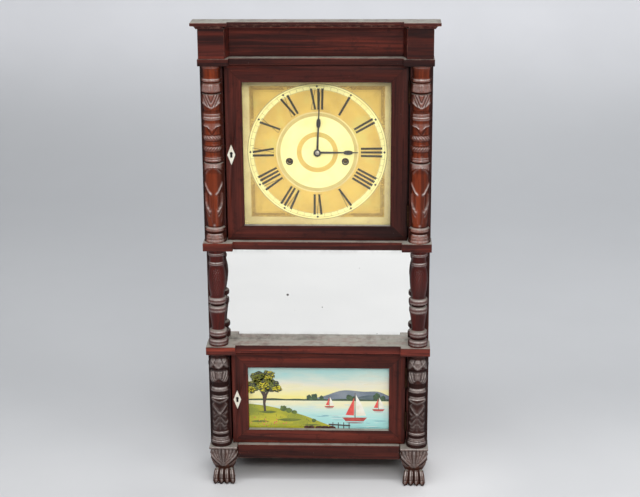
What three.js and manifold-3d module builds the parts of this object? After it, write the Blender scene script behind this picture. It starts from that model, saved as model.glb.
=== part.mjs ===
// Three-tier weight-driven shelf clock with carved half columns, a mirror and a glass tablet.
// Millimetres, +X right, +Y back, +Z up, origin on the floor at the middle of the footprint.
import * as THREE from "three";
import { mergeVertices } from "three/addons/utils/BufferGeometryUtils.js";
import Module from "manifold-3d";

const wasm = await Module();
wasm.setup();

// Heights of the tiers, from the floor up.
const footHeight = 54;
const baseHeight = 30;
const lowerTierHeight = 200.5;
const lowerBeltHeight = 17.5;
const middleTierHeight = 200.5;
const upperBeltHeight = 17;
const upperTierHeight = 349;
const architraveHeight = 14;
const friezeHeight = 57.5;
const corniceHeight = 13;

// Widths and depths of the case.
const caseHalfWidth = 221.5;
const boardThickness = 13;
const pilasterWidth = 43;
const pilasterDepth = 24;
const boxDepth = 84;
const backThickness = 8;
const beltOverhang = 2;
const beltBlockWidth = 58.5;
const blockProjection = 22;
const railProjection = 9;
const corniceProjection = 36;
const corniceOverhang = 12.5;
const corniceDepth = 45;
const corniceStepShare = 0.45;
const corniceLipSet = 6;
const friezeSetback = 7;
const friezeSplay = 6;
const columnRadius = 22;
const footBlockOverhang = 2.5;
const footProjection = 23;
const rearFootDepth = 30;
const topBoardDrop = 28;
const topBoardThickness = 12;
const bottomBoardThickness = 10;

// Doors, glass, locks and hinges.
const doorThickness = 20;
const doorSideGap = 3;
const doorEndGap = 0.5;
const upperStile = 33;
const upperBottomRail = 29.8;
const upperTopRail = 34.2;
const lowerStile = 32.8;
const lowerBottomRail = 29.2;
const lowerTopRail = 34.3;
const glassThickness = 2;
const glassLap = 5;
const rebateDepth = 10;
const escutcheonWidth = 15.5;
const escutcheonHeight = 40.5;
const escutcheonThickness = 1.5;
const escutcheonInset = 10.5;
const keyholeRadius = 2.6;
const keyholeDrop = 8;
const keyholeSlotWidth = 2.8;
const boltLength = 14;
const boltThickness = 4;
const boltHeight = 12;
const boltTravel = 5;
const lockBodyRadius = 4;
const barrelRadius = 2.5;
const barrelStand = 0.3;
const hingePinRadius = 1;
const leafLength = 42;
const leafThickness = 1.2;
const leafDepth = 15;
const knuckleShare = 0.34;
const hingeInset = 52;

// Mirror, dial and hands.
const mirrorThickness = 3;
const mirrorLap = 4;
const dialThickness = 6;
const dialSetback = 7;
const dialCleatWidth = 8.5;
const dialCleatDepth = 8;
const dialHoleRadius = 6;
const windingHoleRadius = 4.6;
const windingSpread = 54.5;
const windingDrop = 18.4;
const dialCentreRise = 170.5;
const handThickness = 1;
const handStack = 3;
const minuteHandLength = 121;
const hourHandLength = 80;
const handRootWidth = 4.4;
const handTipWidth = 1.6;
const bulgeHalfWidth = 4.2;
const bulgeHalfLength = 9;
const handHubRadius = 4.6;
const minuteBulgeAt = 59;
const hourBulgeAt = 60;
const minuteHandTurn = THREE.MathUtils.degToRad(2.7);
const hourHandTurn = THREE.MathUtils.degToRad(90);

// Movement: plates, arbors and wheels.
const plateThickness = 2;
const frontPlateSetback = 12;
const plateSpacing = 34;
const plateHalfWidth = 80;
const plateUpperHeight = 91;
const plateLowerHeight = 66;
const pillarRadius = 3;
const pillarInset = 6;
const postRadius = 4;
const runningGap = 0.4;
const seatGap = 0.3;
const drumArborRadius = 2.6;
const arborRadius = 1.8;
const thinArborRadius = 1.2;
const wheelThickness = 1.5;
const greatWheelThickness = 2;
const toothRiseShare = 0.9;
const toothDipShare = 1.25;
const rootShare = 0.6;
const hubShare = 0.3;
const rimShare = 0.82;
const windowHalfAngle = THREE.MathUtils.degToRad(30);
const leaves = 6;
const greatTeeth = 72;
const centreTeeth = 60;
const thirdTeeth = 54;
const strikeTeeth = 54;
const escapeTeeth = 36;
const trainModule = 0.8;
const motionModule = 0.9;
const cannonLeaves = 10;
const minuteTeeth = 30;
const minuteLeaves = 8;
const hourTeeth = 32;
const thirdOffset = 13;
const escapeRadius = 20;
const escapeDepth = 3;
const drumRadius = 28;
const drumLength = 22;
const flangeRise = 2.5;
const flangeThickness = 1.5;
const vergeRise = 26;
const palletThickness = 2;
const palletReach = 19;
const crutchLength = 46;
const crutchWidth = 3;
const prongThickness = 1;
const cockHalfWidth = 10;
const cockThickness = 2;
const cockRise = 15;

// Pendulum, weights, pulleys, cords, hammer and gong.
const pendulumLength = 307;
const rodRadius = 1;
const rodSetback = 5;
const bobRadius = 32;
const bobThickness = 12;
const pendulumEyeRadius = 3.6;
const suspensionRadius = 1.2;
const weightRadius = 25;
const weightHeight = 170;
const weightRest = 6;
const weightChamfer = 3.2;
const weightEyeRadius = 4;
const weightEyeHeight = 12;
const weightWallGap = 3.5;
const weightPlaneDepth = 44;
const cordRadius = 1;
const pulleyGrooveRadius = 8.7;
const pulleyRimRadius = 11;
const pulleyThickness = 7;
const pulleyAxleRadius = 1.5;
const pulleyAxleLength = 20;
const pulleyRise = 5;
const lugThickness = 5;
const lugHeight = 9;
const lugHalfWidth = 5;
const slotInnerReach = 24;
const slotOuterReach = 14;
const hammerOffset = 20;
const hammerDrop = 56;
const hammerHeadRadius = 6;
const hammerHeadLength = 8;
const hammerRodRadius = 1;
const gongDrop = 125;
const gongRadius = 45;
const gongWireRadius = 1.5;
const gongTurns = 3;
const gongSetback = 7;
const gongPostRadius = 6;
const gongStrikeTurn = THREE.MathUtils.degToRad(150);
const gongStrikeGap = 1.2;

// Levels worked out from the tier heights.
const baseZ = footHeight;
const lowerTierZ = baseZ + baseHeight;
const lowerBeltZ = lowerTierZ + lowerTierHeight;
const middleTierZ = lowerBeltZ + lowerBeltHeight;
const upperBeltZ = middleTierZ + middleTierHeight;
const upperTierZ = upperBeltZ + upperBeltHeight;
const architraveZ = upperTierZ + upperTierHeight;
const friezeZ = architraveZ + architraveHeight;
const corniceZ = friezeZ + friezeHeight;
const caseTopZ = corniceZ + corniceHeight;
const topBoardTopZ = corniceZ - topBoardDrop;

// Depth planes, from the back of the case forward.
const totalDepth = backThickness + boxDepth + pilasterDepth + corniceProjection;
const backY = totalDepth / 2;
const boardY = backY - backThickness;
const boxY = boardY - boxDepth;
const pilasterY = boxY - pilasterDepth;
const railY = pilasterY - railProjection;
const blockY = pilasterY - blockProjection;
const corniceY = pilasterY - corniceProjection;
const friezeY = pilasterY + friezeSetback;

// Widths worked out from the case.
const innerHalfWidth = caseHalfWidth - boardThickness;
const pilasterX = caseHalfWidth - pilasterWidth;
const beltHalfWidth = caseHalfWidth + beltOverhang;
const blockX = beltHalfWidth - beltBlockWidth;
const doorHalfWidth = pilasterX - doorSideGap;
const columnX = caseHalfWidth - columnRadius;

// Dial and movement planes.
const dialY = boxY + dialSetback;
const dialBackY = dialY + dialThickness;
const dialZ = upperTierZ + dialCentreRise;
const windingZ = dialZ - windingDrop;
const frontPlateY = dialBackY + frontPlateSetback;
const frontPlateBackY = frontPlateY + plateThickness;
const backPlateY = frontPlateBackY + plateSpacing;
const backPlateBackY = backPlateY + plateThickness;
const weightY = boxY + weightPlaneDepth;
const rodY = backPlateBackY + rodSetback;

// Centres of the going train, seen from the front.
const greatDistance = Math.hypot(windingSpread, windingDrop);
const greatModule = (2 * greatDistance) / (greatTeeth + leaves);
const thirdDistance = (trainModule * (centreTeeth + leaves)) / 2;
const escapeDistance = (trainModule * (thirdTeeth + leaves)) / 2;
const centre = { x: 0, z: dialZ };
const timeDrum = { x: windingSpread, z: windingZ };
const strikeDrum = { x: -windingSpread, z: windingZ };
const third = { x: thirdOffset, z: dialZ + Math.sqrt(thirdDistance ** 2 - thirdOffset ** 2) };
const escape = { x: 0, z: third.z + Math.sqrt(escapeDistance ** 2 - thirdOffset ** 2) };
const verge = { x: 0, z: escape.z + vergeRise };
const minuteStud = { x: 0, z: dialZ - (motionModule * (cannonLeaves + minuteTeeth)) / 2 };
const hammer = { x: -hammerOffset, z: dialZ - hammerDrop };
const gong = { x: 0, z: dialZ - gongDrop };

// Weights and pulleys.
const weightX = innerHalfWidth - weightWallGap - weightRadius;
const weightZ = baseZ + bottomBoardThickness + weightRest;
const weightTopZ = weightZ + weightHeight;
const cordRunRadius = pulleyGrooveRadius + cordRadius + seatGap;
const drumRunRadius = drumRadius + cordRadius + seatGap;
const pulleyX = weightX - cordRunRadius;
const pulleyZ = topBoardTopZ + pulleyRise;

// Materials, one look for each kind of surface.
function look(name, color, roughness, metalness) {
  const material = new THREE.MeshStandardMaterial({ color, roughness, metalness });
  material.name = name;
  return material;
}
const mahogany = look("mahogany", 0x4a231e, 0.45, 0);
const carvedWood = look("carved_mahogany", 0x6e3a28, 0.5, 0);
const pine = look("old_pine", 0x8a6a48, 0.8, 0);
const brass = look("brass", 0xb08d4a, 0.35, 1);
const steel = look("blued_steel", 0x24242a, 0.35, 1);
const castIron = look("cast_iron", 0x3a3a3c, 0.7, 1);
const windowGlass = look("glass", 0xe8f0f0, 0.05, 0);
const mirrorGlass = look("mirror", 0xd8dcdc, 0.08, 1);
const bone = look("bone", 0xf0ead8, 0.4, 0);
const dialPaint = look("dial", 0xefe3bd, 0.6, 0);
const cordFibre = look("cord", 0xb8a888, 0.9, 0);

const clock = new THREE.Group();
clock.name = "clock";

// Solids

// A closed mesh as a solid, turned so that its faces point out.
function solid(geometry) {
  const source = geometry.index ? geometry.toNonIndexed() : geometry.clone();
  const bare = new THREE.BufferGeometry();
  bare.setAttribute("position", source.getAttribute("position"));
  const merged = mergeVertices(bare, 1e-4);
  const corners = merged.getAttribute("position");
  const kept = [];
  let volume = 0;
  const a = new THREE.Vector3();
  const b = new THREE.Vector3();
  const c = new THREE.Vector3();
  for (let i = 0; i < merged.index.count; i += 3) {
    const [p, q, r] = [0, 1, 2].map((k) => merged.index.getX(i + k));
    if (p === q || q === r || r === p) continue;
    a.fromBufferAttribute(corners, p);
    b.fromBufferAttribute(corners, q);
    c.fromBufferAttribute(corners, r);
    volume += a.dot(b.cross(c));
    kept.push(p, q, r);
  }
  const triVerts = new Uint32Array(kept);
  if (volume < 0) triVerts.reverse();
  return new wasm.Manifold(
    new wasm.Mesh({ numProp: 3, vertProperties: corners.array, triVerts }),
  );
}

function geometryOf(manifold) {
  const mesh = manifold.getMesh();
  const geometry = new THREE.BufferGeometry();
  geometry.setAttribute("position", new THREE.BufferAttribute(mesh.vertProperties, mesh.numProp));
  geometry.setIndex(new THREE.BufferAttribute(mesh.triVerts, 1));
  return geometry;
}

// The first shape with the others joined to it, and with the last list cut away.
function carve(pieces, cuts = []) {
  let whole = solid(pieces[0]);
  for (const piece of pieces.slice(1)) whole = whole.add(solid(piece));
  for (const cut of cuts) whole = whole.subtract(solid(cut));
  return geometryOf(whole);
}

function addPart(name, geometry, material) {
  geometry.computeVertexNormals();
  const mesh = new THREE.Mesh(geometry, material);
  mesh.name = name;
  clock.add(mesh);
  return mesh;
}

// A box between two corners.
function block(x0, x1, y0, y1, z0, z1) {
  const geometry = new THREE.BoxGeometry(x1 - x0, y1 - y0, z1 - z0);
  return geometry.translate((x0 + x1) / 2, (y0 + y1) / 2, (z0 + z1) / 2);
}

// An outline in plan, x by y, raised from z0 to z1.
function plan(points, z0, z1) {
  const shape = new THREE.Shape(points.map(([x, y]) => new THREE.Vector2(x, y)));
  const geometry = new THREE.ExtrudeGeometry(shape, { depth: z1 - z0, bevelEnabled: false });
  return geometry.translate(0, 0, z0);
}

// A front view shape, x by z, carried from y0 back to y1.
function front(shape, y0, y1) {
  const geometry = new THREE.ExtrudeGeometry(shape, {
    depth: y1 - y0,
    bevelEnabled: false,
    curveSegments: 6,
  });
  return geometry.rotateX(Math.PI / 2).translate(0, y1, 0);
}

function outline(points) {
  return new THREE.Shape(points.map(([x, z]) => new THREE.Vector2(x, z)));
}

// A round bar along the depth of the case.
function bar(place, radius, y0, y1, facets = 12) {
  const geometry = new THREE.CylinderGeometry(radius, radius, y1 - y0, facets);
  return geometry.translate(place.x, (y0 + y1) / 2, place.z);
}

// A turned shape about an upright axis, from pairs of radius and height.
function turned(points, x, y, facets) {
  const profile = [[0, points[0][1]], ...points, [0, points.at(-1)[1]]];
  const geometry = new THREE.LatheGeometry(
    profile.map(([r, z]) => new THREE.Vector2(r, -z)),
    facets,
  );
  return geometry.rotateX(-Math.PI / 2).translate(x, y, 0);
}

// A turned shape about an axis along the depth, from pairs of radius and depth.
function spun(points, place, facets) {
  const profile = [[0, points[0][1]], ...points, [0, points.at(-1)[1]]];
  const geometry = new THREE.LatheGeometry(
    profile.map(([r, y]) => new THREE.Vector2(r, y)),
    facets,
  );
  return geometry.translate(place.x, 0, place.z);
}

// A path through the given points, with one section at each of them.
class Route extends THREE.Curve {
  constructor(points) {
    super();
    this.points = points;
  }

  getPoint(t, target = new THREE.Vector3()) {
    const place = t * (this.points.length - 1);
    const i = Math.min(Math.floor(place), this.points.length - 2);
    return target.lerpVectors(this.points[i], this.points[i + 1], place - i);
  }

  getPointAt(u, target) {
    return this.getPoint(u, target);
  }

  getTangentAt(u, target = new THREE.Vector3()) {
    const half = 1 / (2 * (this.points.length - 1));
    const before = this.getPoint(Math.max(0, u - half));
    return target.subVectors(this.getPoint(Math.min(1, u + half)), before).normalize();
  }
}

// A round wire or cord through the given points.
function sweep(points, radius, facets) {
  const section = [];
  for (let i = 0; i < facets; i += 1) {
    const angle = (2 * Math.PI * i) / facets;
    section.push([radius * Math.cos(angle), radius * Math.sin(angle)]);
  }
  return new THREE.ExtrudeGeometry(outline(section), {
    steps: points.length - 1,
    extrudePath: new Route(points),
    bevelEnabled: false,
  });
}

// The two copies of a piece, one on each side of the case.
const sides = [
  { name: "left", sign: -1 },
  { name: "right", sign: 1 },
];

function span(sign, near, far) {
  return sign > 0 ? [near, far] : [-far, -near];
}

// Case

// Outline in plan of a board that steps forward over the columns.
function breakFront(halfWidth, innerX, rail, blockFront, back) {
  return [
    [-halfWidth, back],
    [-halfWidth, blockFront],
    [-innerX, blockFront],
    [-innerX, rail],
    [innerX, rail],
    [innerX, blockFront],
    [halfWidth, blockFront],
    [halfWidth, back],
  ];
}

function makeSideBoards() {
  for (const { name, sign } of sides) {
    const [x0, x1] = span(sign, innerHalfWidth, caseHalfWidth);
    const [p0, p1] = span(sign, pilasterX, caseHalfWidth);
    const [c0, c1] = span(sign, innerHalfWidth - dialCleatWidth, innerHalfWidth);
    const boltX = span(sign, pilasterX, pilasterX + boltTravel + doorSideGap);
    const cleatX = [Math.min(c0, x0), Math.max(c1, x1)];
    const pieces = [
      block(x0, x1, boxY, boardY, baseZ, topBoardTopZ),
      block(x0, x1, boardY - rearFootDepth, boardY, 0, lowerTierZ),
      block(...cleatX, dialBackY, dialBackY + dialCleatDepth, upperTierZ, architraveZ),
    ];
    for (const [z0, z1] of [[lowerTierZ, lowerBeltZ], [upperTierZ, architraveZ]]) {
      pieces.push(block(p0, p1, pilasterY, boxY, z0, z1), block(x0, x1, pilasterY, boardY, z0, z1));
    }
    const mortises = sign < 0 ? [lowerLockZ, upperLockZ].map((z) => boltSlot(boltX, z)) : [];
    addPart(name + "_side_board", carve(pieces, mortises), mahogany);
  }
}

// Space for a lock bolt, a little larger than the bolt.
function boltSlot([x0, x1], z) {
  const y = pilasterY + doorThickness / 2;
  const halfThick = boltThickness / 2 + runningGap;
  const halfHigh = boltHeight / 2 + runningGap;
  return block(x0, x1, y - halfThick, y + halfThick, z - halfHigh, z + halfHigh);
}

function makeCaseBoards() {
  const half = caseHalfWidth;
  const inner = innerHalfWidth;
  addPart("back_board", block(-half, half, boardY, backY, 0, topBoardTopZ), pine);
  addPart(
    "bottom_board",
    block(-inner, inner, boxY, boardY, baseZ, baseZ + bottomBoardThickness),
    pine,
  );
  addPart("base_rail", block(-blockX, blockX, railY, boxY, baseZ, lowerTierZ), mahogany);
}

// The top board has a slot for each pulley, with a pair of lugs that carry its axle.
function makeTopBoard() {
  const z0 = topBoardTopZ - topBoardThickness;
  const pieces = [block(-innerHalfWidth, innerHalfWidth, boxY, boardY, z0, topBoardTopZ)];
  const cuts = [];
  const halfSlot = pulleyThickness / 2 + runningGap;
  const axleRoom = pulleyAxleRadius + seatGap;
  for (const { sign } of sides) {
    const [s0, s1] = span(sign, pulleyX - slotInnerReach, pulleyX + slotOuterReach);
    const x = sign * pulleyX;
    for (const side of [-1, 1]) {
      const near = weightY + side * (halfSlot + seatGap);
      const far = near + side * lugThickness;
      const [y0, y1] = [Math.min(near, far), Math.max(near, far)];
      pieces.push(
        block(x - lugHalfWidth, x + lugHalfWidth, y0, y1, z0, topBoardTopZ + lugHeight),
      );
    }
    cuts.push(block(s0, s1, weightY - halfSlot, weightY + halfSlot, z0 - seatGap, caseTopZ));
    const axle = { x, z: pulleyZ };
    cuts.push(bar(axle, axleRoom, weightY - pulleyAxleLength, weightY + pulleyAxleLength));
  }
  addPart("top_board", carve(pieces, cuts), pine);
}

function makeBelts() {
  const belt = breakFront(beltHalfWidth, blockX, railY, blockY, boxY);
  addPart("lower_belt", plan(belt, lowerBeltZ, middleTierZ), mahogany);
  addPart("upper_belt", plan(belt, upperBeltZ, upperTierZ), mahogany);
  addPart("architrave", plan(belt, architraveZ, friezeZ), mahogany);
}

function makeFrieze() {
  addPart("frieze_board", block(-blockX, blockX, friezeY, boxY, friezeZ, corniceZ), mahogany);
  for (const { name, sign } of sides) {
    const points = [
      [blockX, boxY],
      [blockX, friezeY],
      [blockX + friezeSplay, blockY],
      [caseHalfWidth, blockY],
      [caseHalfWidth, boxY],
    ].map(([x, y]) => [sign * x, y]);
    addPart("frieze_block_" + name, plan(points, friezeZ, corniceZ), mahogany);
  }
}

// The cornice is a thin slab over a narrower bed, both stepping forward over the blocks.
function makeCornice() {
  const half = caseHalfWidth + corniceOverhang;
  const step = blockProjection - railProjection;
  const back = corniceY + corniceDepth;
  const bedTop = corniceZ + corniceHeight * corniceStepShare;
  const top = breakFront(half, blockX, corniceY + step, corniceY, back);
  const bed = breakFront(
    half - corniceLipSet,
    blockX + friezeSplay,
    corniceY + step + corniceLipSet,
    corniceY + corniceLipSet,
    back,
  );
  const inTop = (bedTop + caseTopZ) / 2;
  const pieces = [plan(top, bedTop, caseTopZ), plan(bed, corniceZ, inTop)];
  addPart("cornice", carve(pieces), mahogany);
}

function makeMirror() {
  const half = innerHalfWidth - seatGap;
  const z0 = middleTierZ - mirrorLap;
  const z1 = upperBeltZ + mirrorLap;
  addPart("mirror", block(-half, half, boxY, boxY + mirrorThickness, z0, z1), mirrorGlass);
}

// Columns

// Profiles as shares of the column radius and of the tier height.
const upperColumnShares = [
  [1, 0], [1, 0.01], [0.936, 0.013], [0.936, 0.036], [0.836, 0.044], [0.836, 0.056],
  [0.909, 0.062], [0.909, 0.079], [0.773, 0.087], [0.764, 0.105], [0.836, 0.159],
  [0.873, 0.259], [0.873, 0.36], [0.836, 0.423], [0.891, 0.431], [0.891, 0.451],
  [0.8, 0.457], [0.855, 0.466], [0.855, 0.494], [0.809, 0.5], [0.809, 0.534],
  [0.859, 0.54], [0.859, 0.56], [0.809, 0.566], [0.809, 0.589], [0.859, 0.595],
  [0.859, 0.617], [0.814, 0.626], [0.827, 0.698], [0.877, 0.706], [0.877, 0.738],
  [0.782, 0.746], [0.818, 0.775], [0.873, 0.838], [0.764, 0.847], [0.864, 0.858],
  [0.864, 0.895], [0.773, 0.907], [0.877, 0.915], [0.877, 0.927], [0.8, 0.933],
  [0.827, 0.979], [0.891, 0.987], [0.891, 1],
];
const middleColumnShares = [
  [0.886, 0], [0.886, 0.06], [0.745, 0.075], [0.745, 0.095], [0.841, 0.11],
  [0.841, 0.155], [0.582, 0.17], [0.645, 0.239], [0.745, 0.329], [0.8, 0.349],
  [0.8, 0.409], [0.636, 0.421], [0.636, 0.434], [0.818, 0.446], [0.818, 0.494],
  [0.618, 0.509], [0.727, 0.589], [0.795, 0.688], [0.755, 0.763], [0.655, 0.823],
  [0.709, 0.838], [0.709, 0.868], [0.655, 0.878], [0.655, 0.928], [0.773, 0.943],
  [0.773, 1],
];
const lowerColumnShares = [
  [0.98, 0], [1, 0.035], [0.955, 0.042], [1, 0.05], [0.973, 0.07], [0.855, 0.085],
  [0.855, 0.1], [0.936, 0.11], [0.918, 0.125], [0.845, 0.135], [0.845, 0.479],
  [0.909, 0.499], [0.891, 0.519], [0.8, 0.529], [0.8, 0.559], [0.891, 0.569],
  [0.891, 0.618], [0.791, 0.638], [0.836, 0.688], [0.882, 0.758], [0.845, 0.823],
  [0.809, 0.833], [0.9, 0.858], [0.9, 0.928], [0.8, 0.943], [0.8, 0.978],
  [0.909, 0.988], [0.909, 1],
];

function profileOf(shares, z, height) {
  return shares.map(([r, h]) => [r * columnRadius, z + h * height]);
}

function makeColumns() {
  const columnSides = 16;
  const tiers = [
    { name: "upper", shares: upperColumnShares, z: upperTierZ, height: upperTierHeight },
    { name: "lower", shares: lowerColumnShares, z: lowerTierZ, height: lowerTierHeight },
    { name: "middle", shares: middleColumnShares, z: middleTierZ, height: middleTierHeight },
  ];
  for (const { name: side, sign } of sides) {
    const x = sign * columnX;
    for (const tier of tiers) {
      const profile = profileOf(tier.shares, tier.z, tier.height);
      const whole = turned(profile, x, pilasterY, columnSides);
      const behind = block(
        x - 2 * columnRadius,
        x + 2 * columnRadius,
        pilasterY,
        pilasterY + 2 * columnRadius,
        tier.z - columnRadius,
        tier.z + tier.height + columnRadius,
      );
      const cuts = tier.name === "middle" ? [] : [behind];
      addPart(tier.name + "_column_" + side, carve([whole], cuts), carvedWood);
    }
  }
}

// Paw feet

// A square-cornered body that changes size from one level to the next.
function taper(levels) {
  const positions = [];
  const ring = ([x0, x1, y0, y1, z]) => [[x0, y0, z], [x1, y0, z], [x1, y1, z], [x0, y1, z]];
  const quad = (a, b, c, d) => positions.push(...a, ...b, ...c, ...a, ...c, ...d);
  const rings = levels.map(ring);
  for (let i = 0; i + 1 < rings.length; i += 1) {
    for (let k = 0; k < 4; k += 1) {
      const next = (k + 1) % 4;
      quad(rings[i][k], rings[i][next], rings[i + 1][next], rings[i + 1][k]);
    }
  }
  const [bottom, top] = [rings[0], rings.at(-1)];
  quad(bottom[3], bottom[2], bottom[1], bottom[0]);
  quad(top[0], top[1], top[2], top[3]);
  const geometry = new THREE.BufferGeometry();
  geometry.setAttribute("position", new THREE.Float32BufferAttribute(positions, 3));
  return geometry;
}

// Levels of the foot as shares of its height. The side and front insets are shares of its width,
// and the depth of each level is a share of the depth of the block above.
const footLevelShares = [
  { z: 0, side: 0.1, front: 0.12, depth: 0.62 },
  { z: 0.14, side: 0.05, front: 0.05, depth: 0.7 },
  { z: 0.38, side: 0.14, front: 0.16, depth: 0.66 },
  { z: 0.62, side: 0.17, front: 0.22, depth: 0.64 },
  { z: 0.8, side: 0.1, front: 0.12, depth: 0.7 },
  { z: 1, side: 0.02, front: 0.04, depth: 0.8 },
  { z: 1.1, side: 0.02, front: 0.04, depth: 0.8 },
];
const toeShares = [-0.33, -0.12, 0.12, 0.33];
const toeSizeShare = 1 / 9;
const toeLengthShare = 1.5;
const toeHeightShare = 1.2;
const toeInsetShare = 1.7;

function makePawFeet() {
  const outer = caseHalfWidth + footBlockOverhang;
  const frontY = pilasterY - footProjection;
  const width = outer - blockX;
  const depth = boxY - frontY;
  const middle = (outer + blockX) / 2;
  const toeRadius = width * toeSizeShare;
  const toeY = frontY + toeInsetShare * toeRadius;
  const toeZ = toeHeightShare * toeRadius;
  for (const { name, sign } of sides) {
    const levels = footLevelShares.map((share) => [
      sign * middle - width * (1 / 2 - share.side),
      sign * middle + width * (1 / 2 - share.side),
      frontY + width * share.front,
      frontY + depth * share.depth,
      footHeight * share.z,
    ]);
    const pieces = [
      block(...span(sign, blockX, outer), frontY, boxY, footHeight, lowerTierZ),
      taper(levels),
    ];
    for (const share of toeShares) {
      const toe = new THREE.SphereGeometry(toeRadius, 8, 6);
      toe.scale(1, toeLengthShare, toeHeightShare);
      toe.translate(sign * middle + width * share, toeY, toeZ);
      pieces.push(toe);
    }
    addPart("paw_foot_" + name, carve(pieces), carvedWood);
  }
}

// Doors

const lowerDoor = {
  name: "lower",
  z0: lowerTierZ + doorEndGap,
  z1: lowerBeltZ - doorEndGap,
  stile: lowerStile,
  rail: lowerBottomRail,
  topRail: lowerTopRail,
  lockShare: 0.48,
};
const upperDoor = {
  name: "upper",
  z0: upperTierZ + doorEndGap,
  z1: architraveZ - doorEndGap,
  stile: upperStile,
  rail: upperBottomRail,
  topRail: upperTopRail,
  lockShare: 0.495,
};
const doors = [lowerDoor, upperDoor];
const lockZ = (door) => door.z0 + door.lockShare * (door.z1 - door.z0);
const lowerLockZ = lockZ(lowerDoor);
const upperLockZ = lockZ(upperDoor);
const escutcheonX = -(doorHalfWidth - escutcheonInset);

// The round and slotted keyhole, cut through a plate or a stile.
function keyhole(z, y0, y1) {
  const half = keyholeSlotWidth / 2;
  return [
    bar({ x: escutcheonX, z: z + keyholeDrop / 2 - keyholeRadius }, keyholeRadius, y0, y1),
    block(escutcheonX - half, escutcheonX + half, y0, y1, z - keyholeDrop / 2, z),
  ];
}

function makeDoorFrame(door) {
  const { z0, z1 } = door;
  const backFaceY = pilasterY + doorThickness;
  const rebateY = backFaceY - rebateDepth;
  const openX = doorHalfWidth - door.stile;
  const overrun = doorThickness;
  const frame = block(-doorHalfWidth, doorHalfWidth, pilasterY, backFaceY, z0, z1);
  const light = block(
    -openX,
    openX,
    pilasterY - overrun,
    backFaceY + overrun,
    z0 + door.rail,
    z1 - door.topRail,
  );
  const lap = glassLap + seatGap;
  const rebate = block(
    -openX - lap,
    openX + lap,
    rebateY,
    backFaceY + overrun,
    z0 + door.rail - lap,
    z1 - door.topRail + lap,
  );
  const z = lockZ(door);
  const boltEnd = -doorHalfWidth + boltLength + 2 * runningGap;
  const mortise = boltSlot([-doorHalfWidth - overrun, boltEnd], z);
  const holes = keyhole(z, pilasterY - overrun, pilasterY + doorThickness / 2);
  addPart(door.name + "_door_frame", carve([frame], [light, rebate, mortise, ...holes]), mahogany);
}

function makeDoorGlass(door, name, material) {
  const rebateY = pilasterY + doorThickness - rebateDepth;
  const halfX = doorHalfWidth - door.stile + glassLap;
  const z0 = door.z0 + door.rail - glassLap;
  const z1 = door.z1 - door.topRail + glassLap;
  addPart(name, block(-halfX, halfX, rebateY, rebateY + glassThickness, z0, z1), material);
}

function makeEscutcheon(door) {
  const z = lockZ(door);
  const [halfX, halfZ] = [escutcheonWidth / 2, escutcheonHeight / 2];
  const diamond = outline([
    [escutcheonX, z - halfZ],
    [escutcheonX + halfX, z],
    [escutcheonX, z + halfZ],
    [escutcheonX - halfX, z],
  ]);
  const plate = front(diamond, pilasterY - escutcheonThickness, pilasterY);
  const holes = keyhole(z, pilasterY - doorThickness, pilasterY + doorThickness);
  addPart(door.name + "_escutcheon", carve([plate], holes), bone);
}

// The bolt has a round talon behind the keyhole, which the key pushes.
function makeLockBolt(door) {
  const z = lockZ(door);
  const y = pilasterY + doorThickness / 2;
  const x0 = -doorHalfWidth + runningGap;
  const bolt = block(
    x0,
    x0 + boltLength,
    y - boltThickness / 2,
    y + boltThickness / 2,
    z - boltHeight / 2,
    z + boltHeight / 2,
  );
  const notch = bar(
    { x: x0 + boltLength, z },
    lockBodyRadius,
    y - boltThickness,
    y + boltThickness,
    8,
  );
  addPart(door.name + "_lock_bolt", carve([bolt], [notch]), brass);
}

// Each butt hinge is a case leaf with the pin, and a door leaf that turns on it.
function makeHinges(door) {
  const axis = { x: doorHalfWidth + doorSideGap / 2, y: pilasterY - barrelRadius - barrelStand };
  const knuckle = leafLength * knuckleShare;
  const places = [
    { name: "bottom", z: door.z0 + hingeInset },
    { name: "top", z: door.z1 - hingeInset },
  ];
  const tube = (radius, z0, z1) => {
    const geometry = new THREE.CylinderGeometry(radius, radius, z1 - z0, 12);
    return geometry.rotateX(Math.PI / 2).translate(axis.x, axis.y, (z0 + z1) / 2);
  };
  for (const { name, z } of places) {
    const [z0, z1] = [z - leafLength / 2, z + leafLength / 2];
    const [k0, k1] = [z - knuckle / 2, z + knuckle / 2];
    const leafY = pilasterY + leafDepth;
    const caseLeaf = block(pilasterX - leafThickness, pilasterX, axis.y, leafY, z0, z1);
    const doorLeaf = block(doorHalfWidth, doorHalfWidth + leafThickness, axis.y, leafY, z0, z1);
    const around = barrelRadius + runningGap;
    const keepMiddle = tube(around, k0 - seatGap, k1 + seatGap);
    const caseHalf = carve([caseLeaf, tube(barrelRadius, z0, z1)], [keepMiddle]);
    const pin = tube(hingePinRadius, z0, z1);
    const prefix = door.name + "_hinge_" + name;
    addPart(prefix + "_case_leaf", carve([caseHalf, pin]), brass);
    const keepEnds = [tube(around, z0 - seatGap, k0), tube(around, k1, z1 + seatGap)];
    const bore = tube(hingePinRadius + seatGap, z0, z1);
    const doorHalf = carve([doorLeaf], keepEnds);
    addPart(prefix + "_door_leaf", carve([doorHalf, tube(barrelRadius, k0, k1)], [bore]), brass);
  }
}

// Dial and hands

function makeDial() {
  const half = innerHalfWidth - seatGap;
  const board = block(
    -half,
    half,
    dialY,
    dialBackY,
    upperTierZ + doorEndGap,
    architraveZ - doorEndGap,
  );
  const overrun = dialThickness;
  const holes = [bar(centre, dialHoleRadius, dialY - overrun, dialBackY + overrun, 16)];
  for (const place of [strikeDrum, timeDrum]) {
    holes.push(bar(place, windingHoleRadius, dialY - overrun, dialBackY + overrun, 16));
  }
  addPart("dial", carve([board], holes), dialPaint);
}

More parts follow.
